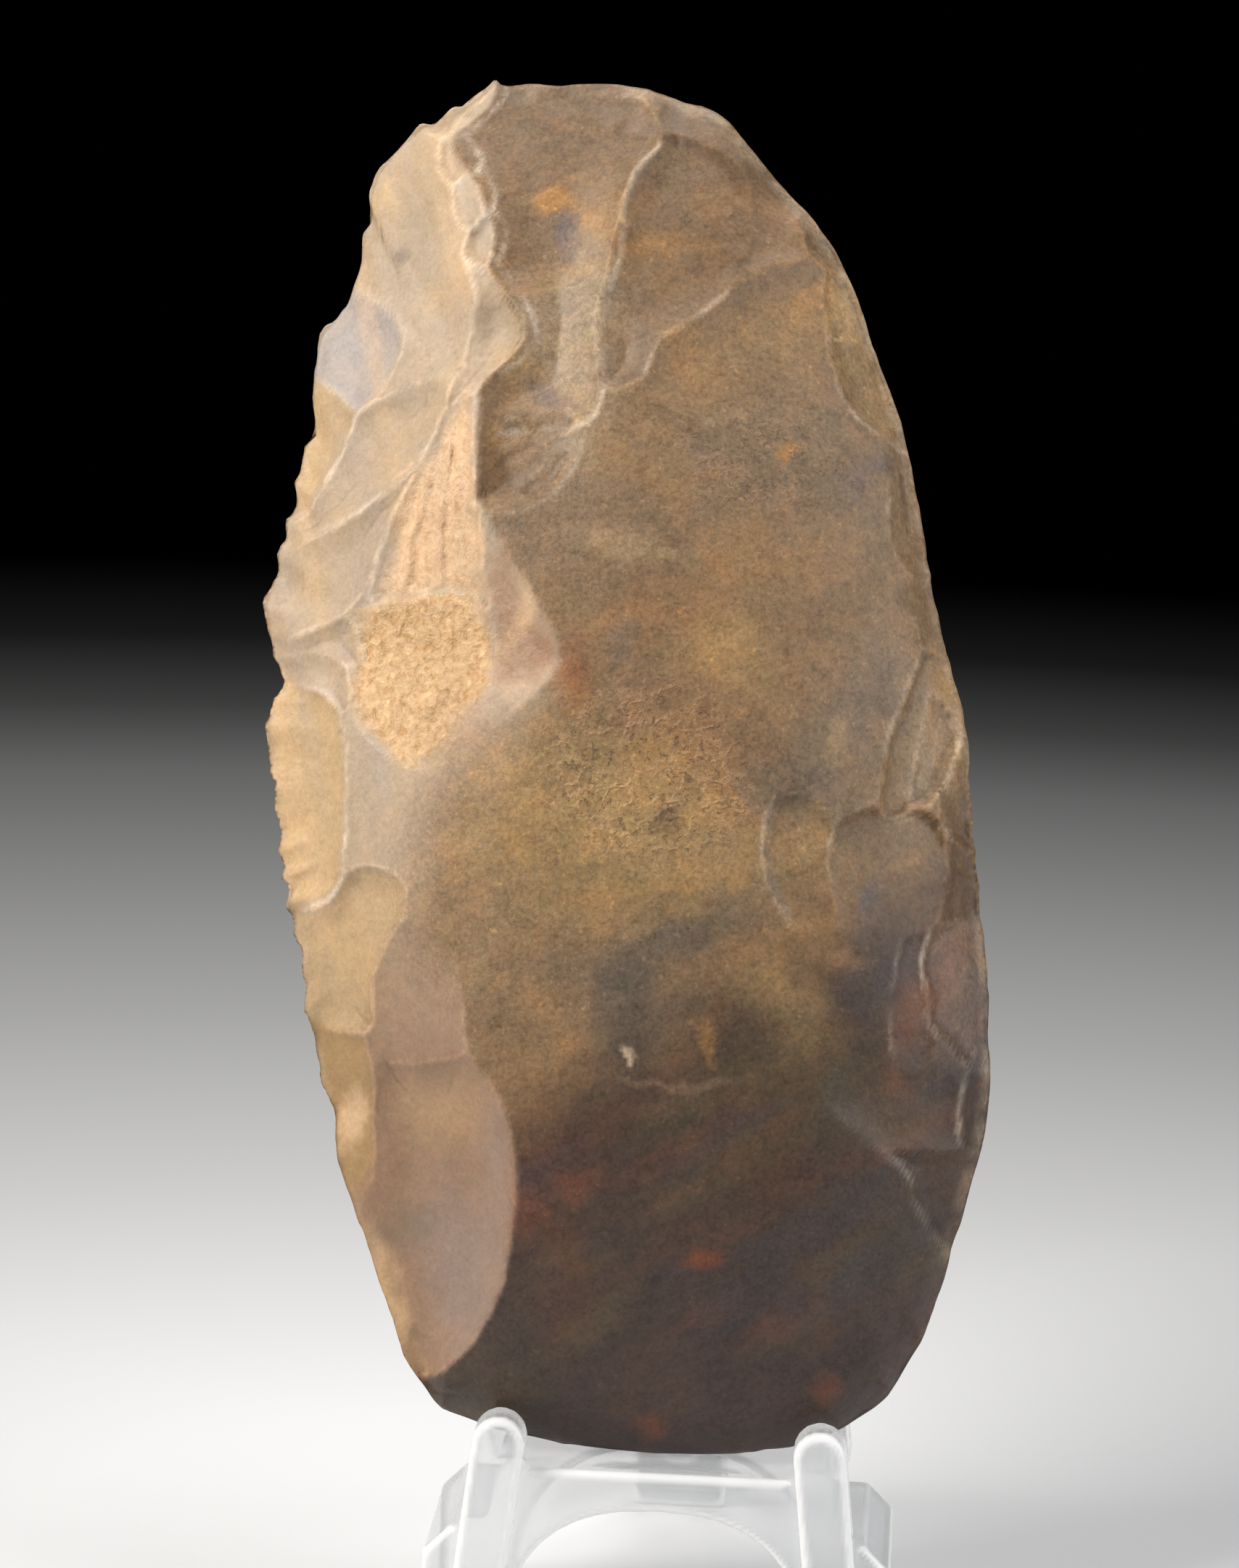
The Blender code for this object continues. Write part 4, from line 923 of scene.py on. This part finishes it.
def backColour(u, v):
    ru = u + 2.5 * layered(u, v, 12.0, 51)
    rv = v + 2.5 * layered(u, v, 12.0, 52)
    colour = np.tile(np.array(tones["tan"]), (len(u), 1))
    blend(colour, "ochre", smoothStep(layered(u, v, 22.0, 53), -0.1, 0.6) * 0.8)
    blend(colour, "dark", smoothStep(rv - 0.3 * ru, 50, 22))
    blend(colour, "cream", smoothStep(ru, 8, 30) * smoothStep(rv, 60, 80) * 0.6)
    return colour


# how many of each noise lie in a metre, and what the surface does with the light
flintSpec = {"cloud": 110.0, "hue": 330.0, "mottle": 700.0, "grit": 2300.0, "grains": 1250.0,
             "strokes": 1300.0, "specks": 1500.0, "drift": 500.0, "cracks": 430.0,
             "bump": 0.16 * mm, "bumpStrength": 0.8, "rough": 0.44, "roughGrit": 0.12, "sheen": 0.38}


def flintFinish():
    spec = flintSpec
    finish = Finish("flint")
    where = finish.coords()
    crust = finish.attribute("crust")
    calm = finish.attribute("calm")
    veined = finish.attribute("veins")
    lively = 1.0 - calm * 0.6 - crust * 0.75
    cloud = finish.noise(where, spec["cloud"], 6.0, 0.62, 0.6)
    hue = finish.noise(where, spec["hue"], 6.0, 0.66, 0.4)
    mottle = finish.noise(where, spec["mottle"], 6.0, 0.68, 0.3)
    grit = finish.noise(where, spec["grit"], 3.0, 0.75)
    grains = finish.noise(where, spec["grains"], 4.0, 0.65, 0.5)
    # strokes drawn out from the lower left to the upper right
    along = finish.node("ShaderNodeMapping", {"vector_type": "TEXTURE"},
                        {"Vector": where, "Rotation": (0.0, -0.56, 0.0), "Scale": (5.0, 1.0, 1.0)})
    strokes = finish.noise(along, spec["strokes"], 4.0, 0.6)
    drift = finish.node("ShaderNodeVectorMath", {"operation": "MULTIPLY_ADD"},
                        [finish.noise(where, spec["drift"], 3.0, out=1), (0.004, 0.004, 0.004), where])
    crack = finish.node("ShaderNodeTexVoronoi", {"feature": "DISTANCE_TO_EDGE"},
                        {"Vector": drift, "Scale": spec["cracks"]})
    veins = (veined * finish.ramp(crack, [(0.0, 1.0), (0.16, 0.0)])
             * finish.ramp(hue, [(0.42, 0.0), (0.56, 1.0)]))
    pits = veined * finish.ramp(grains, [(0.34, 1.0), (0.42, 0.0)])
    speck = finish.ramp(finish.noise(where, spec["specks"], 1.0, 0.5), [(0.68, 0.0), (0.74, 0.5)])
    ridgeWearAndHighlight = finish.attribute("arris") * finish.ramp(mottle, [(0.38, 0.25), (0.56, 1.0)])
    # random changes of tone, and on the cortex a brightness that follows the grains: painted light on
    # their tops and painted shade between them
    light = (0.97 + ((cloud - 0.5) * 0.5 + (mottle - 0.5) * 0.5 + (grit - 0.5) * 1.45
                     + (strokes - 0.5) * 0.5) * lively + (grains - 0.5) * crust * 0.8)
    colour = finish.scaled(finish.attribute("tone", out="Color"), light)
    # darker, paler, cooler and warmer clouds of three sizes
    for value, stops, tint in (
            (cloud, [(0.40, 0.8), (0.54, 0.0)], (0.88, 0.91, 0.93)),
            (cloud, [(0.50, 0.0), (0.66, 0.8)], (1.12, 1.02, 0.84)),
            (hue, [(0.38, 0.6), (0.50, 0.0)], (0.93, 0.97, 0.93)),
            (hue, [(0.52, 0.0), (0.64, 0.6)], (1.09, 0.98, 0.91)),
            (mottle, [(0.36, 0.3), (0.48, 0.0)], (0.80, 0.74, 0.68)),
            (mottle, [(0.58, 0.0), (0.72, 0.45)], (1.18, 1.16, 1.14))):
        colour = finish.tinted(colour, finish.ramp(value, stops) * lively, tint)
    # specks, pits, the cortex's grains, ridges pale from wear and a painted highlight, veins, and painted
    # shade in the grooves
    for share, tint in (
            (speck * (1.0 - calm), (1.7, 1.6, 1.35)),
            (pits * 0.7, (0.62, 0.56, 0.50)),
            # the cortex's grains: darker orange in their hollows, and pale tops that are a painted
            # highlight
            (crust * finish.ramp(grains, [(0.36, 0.9), (0.48, 0.0)]), (0.92, 0.78, 0.58)),
            (crust * finish.ramp(grains, [(0.54, 0.0), (0.66, 0.9)]), (1.10, 1.13, 1.16)),
            (ridgeWearAndHighlight * 0.75, (1.42, 1.38, 1.34)),
            (veins * 0.8, (1.40, 1.38, 1.34)),
            (finish.attribute("hollow") * 0.5, (0.55, 0.50, 0.45))):
        colour = finish.tinted(colour, share, tint)
    height = mottle * 0.6 + grit * 0.4 + grains * crust * 3.0 + veins - pits * 1.5
    normal = finish.bump(height, spec["bump"], spec["bumpStrength"])
    return finish.surface(colour=colour, rough=spec["rough"] + grit * spec["roughGrit"],
                          normal=normal, sheen=spec["sheen"])


stone = Stone(axeSpec)
axe = makeAxe(stone)
axe.data.materials.append(flintFinish())
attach(axe, "root")
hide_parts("axe")
print("axe:", len(axe.data.polygons), "faces")

# the clear easel
easelSpec = {
    "weld": 0.002 * mm, "voxel": 0.35 * mm, "smooth": 5,
    "edgeBend": (0.12, 0.48),           # bend per millimetre where an edge starts to show and shows fully
    # the white and more opaque edges are a painted highlight of the clear plastic
    "rough": 0.2, "edge": linear(254, 254, 254), "edgeAlpha": 0.85,
    # each CAD node's piece here, with the colour and alpha of its faces
    "pieces": {
        "easel_front": ("easel_front_moulding", linear(228, 230, 232), 0.34),
        # the rear leg is a darker, more opaque copy of the same plastic: painted shade, for the shade of
        # the stone and the front moulding
        "easel_rear_leg": ("easel_leg", linear(196, 198, 200), 0.5),
    },
}


def clearFinish(name, face, alpha):
    finish = Finish(name)
    edge = finish.attribute("edge")
    # near-white where the surface bends over an edge: a painted highlight
    colour = finish.mix(edge, face, easelSpec["edge"])
    return finish.surface(colour=colour, rough=easelSpec["rough"],
                          alpha=alpha + edge * (easelSpec["edgeAlpha"] - alpha))


def markEdges(mesh):
    # one where the surface turns outwards over an edge, and nothing where it is flat
    where, normal = np.zeros(len(mesh.vertices) * 3), np.zeros(len(mesh.vertices) * 3)
    ends = np.zeros(len(mesh.edges) * 2, int)
    mesh.vertices.foreach_get("co", where)
    mesh.vertices.foreach_get("normal", normal)
    mesh.edges.foreach_get("vertices", ends)
    where, normal, ends = where.reshape(-1, 3), normal.reshape(-1, 3), ends.reshape(-1, 2)
    step = where[ends[:, 1]] - where[ends[:, 0]]
    turn = normal[ends[:, 1]] - normal[ends[:, 0]]
    bent = (step * turn).sum(1) / np.maximum((step * step).sum(1), 1e-12)
    total = np.zeros(len(where))
    np.add.at(total, ends[:, 0], bent)
    np.add.at(total, ends[:, 1], bent)
    # the remesh gives most points four neighbours, so this is the bend per millimetre
    edge = smoothStep(total / 4.0 * mm, *easelSpec["edgeBend"])
    mesh.attributes.new("edge", "FLOAT", "POINT").data.foreach_set("value", edge)


def mouldedCopy(node, name):
    # the node's own shape with its loose triangles joined and every corner eased
    pickOnly(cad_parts[node])
    bpy.ops.object.duplicate()
    piece = bpy.context.object
    piece.name = name
    bpy.ops.object.mode_set(mode="EDIT")
    bpy.ops.mesh.select_all(action="SELECT")
    bpy.ops.mesh.remove_doubles(threshold=easelSpec["weld"])
    bpy.ops.object.mode_set(mode="OBJECT")
    remesh = piece.modifiers.new("remesh", "REMESH")
    remesh.mode = "VOXEL"
    remesh.voxel_size = easelSpec["voxel"]
    smooth = piece.modifiers.new("smooth", "SMOOTH")
    smooth.factor = 0.5
    smooth.iterations = easelSpec["smooth"]
    applyAll(piece)
    piece.data.shade_smooth()
    markEdges(piece.data)
    return piece


for node, (name, face, alpha) in easelSpec["pieces"].items():
    piece = mouldedCopy(node, name)
    piece.data.materials.clear()
    piece.data.materials.append(clearFinish(name + "_plastic", face, alpha))
    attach(piece, "root")
    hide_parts(node)
    print(name + ":", len(piece.data.polygons), "faces")

# floor, light and camera
studio = {
    "floorSize": 14.0, "fadeOut": 0.90, "floorRough": 0.9,
    # the floor's grey at shares of the fade's reach, from the stand outwards: a painted falloff of the
    # light, to black far off
    "greys": [(0.0, 0.80), (0.07, 0.78), (0.19, 0.56), (0.30, 0.42), (0.45, 0.29), (0.53, 0.22),
              (0.61, 0.10), (0.71, 0.025), (0.84, 0.0)],
    "world": (0.35, 0.36, 0.38), "worldStrength": 0.003,
}


def floorFinish():
    finish = Finish("floor")
    where = finish.coords()
    out = finish.node("ShaderNodeVectorMath", {"operation": "LENGTH"}, [where], out="Value")
    # a painted falloff of light with distance from the stand
    shade = finish.ramp(out / studio["fadeOut"], studio["greys"])
    return finish.surface(colour=shade, rough=studio["floorRough"], sheen=0.0)


bpy.ops.object.select_all(action="DESELECT")
bpy.ops.mesh.primitive_grid_add(size=studio["floorSize"], x_subdivisions=2, y_subdivisions=2)
floor = bpy.context.object
floor.name = "floor"
floor.data.materials.append(floorFinish())

world = bpy.data.worlds.new("studio")
world.use_nodes = True
world.node_tree.nodes["Background"].inputs["Color"].default_value = (*studio["world"], 1.0)
world.node_tree.nodes["Background"].inputs["Strength"].default_value = studio["worldStrength"]
bpy.context.scene.world = world

softboxes = {
    "key": {"at": (-0.45, -0.35, 0.55), "size": 0.35, "watts": 6.2, "colour": (1.0, 0.98, 0.95)},
    "fill": {"at": (0.55, -0.14, 0.26), "size": 0.45, "watts": 2.3, "colour": (0.97, 0.98, 1.0)},
    "top": {"at": (0.05, 0.15, 0.60), "size": 0.40, "watts": 1.8, "colour": (1.0, 1.0, 1.0)},
}
middle = Vector((0.0, -0.005, 0.085))   # what the lamps point at
for name, box in softboxes.items():
    light = bpy.data.lights.new(name, "AREA")
    light.shape = "SQUARE"
    light.size = box["size"]
    light.energy = box["watts"]
    light.color = box["colour"]
    lamp = bpy.data.objects.new(name, light)
    lamp.location = box["at"]
    lamp.rotation_euler = (middle - lamp.location).to_track_quat("-Z", "Y").to_euler()
    bpy.context.scene.collection.objects.link(lamp)

view = {"lens": 135.0, "sensor": 36.0, "elevation": 10.0, "azimuth": 3.0, "roll": 2.0,
        "aim": (-7.275, 15.724, 63.933), "distance": 583.67}
raised, turned, rolled = (radians(view[k]) for k in ("elevation", "azimuth", "roll"))
backwards = Vector((sin(turned) * cos(raised), -cos(turned) * cos(raised), sin(raised)))
level = Vector((0, 0, 1)).cross(backwards).normalized()
upright = backwards.cross(level)
right = level * cos(rolled) + upright * sin(rolled)
up = upright * cos(rolled) - level * sin(rolled)
aim = (Vector(axeSpec["seat"]) + Vector(view["aim"])) * mm
camera = bpy.data.objects.new("camera", bpy.data.cameras.new("camera"))
camera.data.sensor_fit = "VERTICAL"
camera.data.sensor_height = view["sensor"]
camera.data.lens = view["lens"]
camera.data.clip_start = 0.01
camera.matrix_world = (Matrix.Translation(aim + backwards * view["distance"] * mm)
                       @ Matrix((right, up, backwards)).transposed().to_4x4())
bpy.context.scene.collection.objects.link(camera)
bpy.context.scene.camera = camera
bpy.context.scene.view_settings.view_transform = "Standard"
print("studio ready")
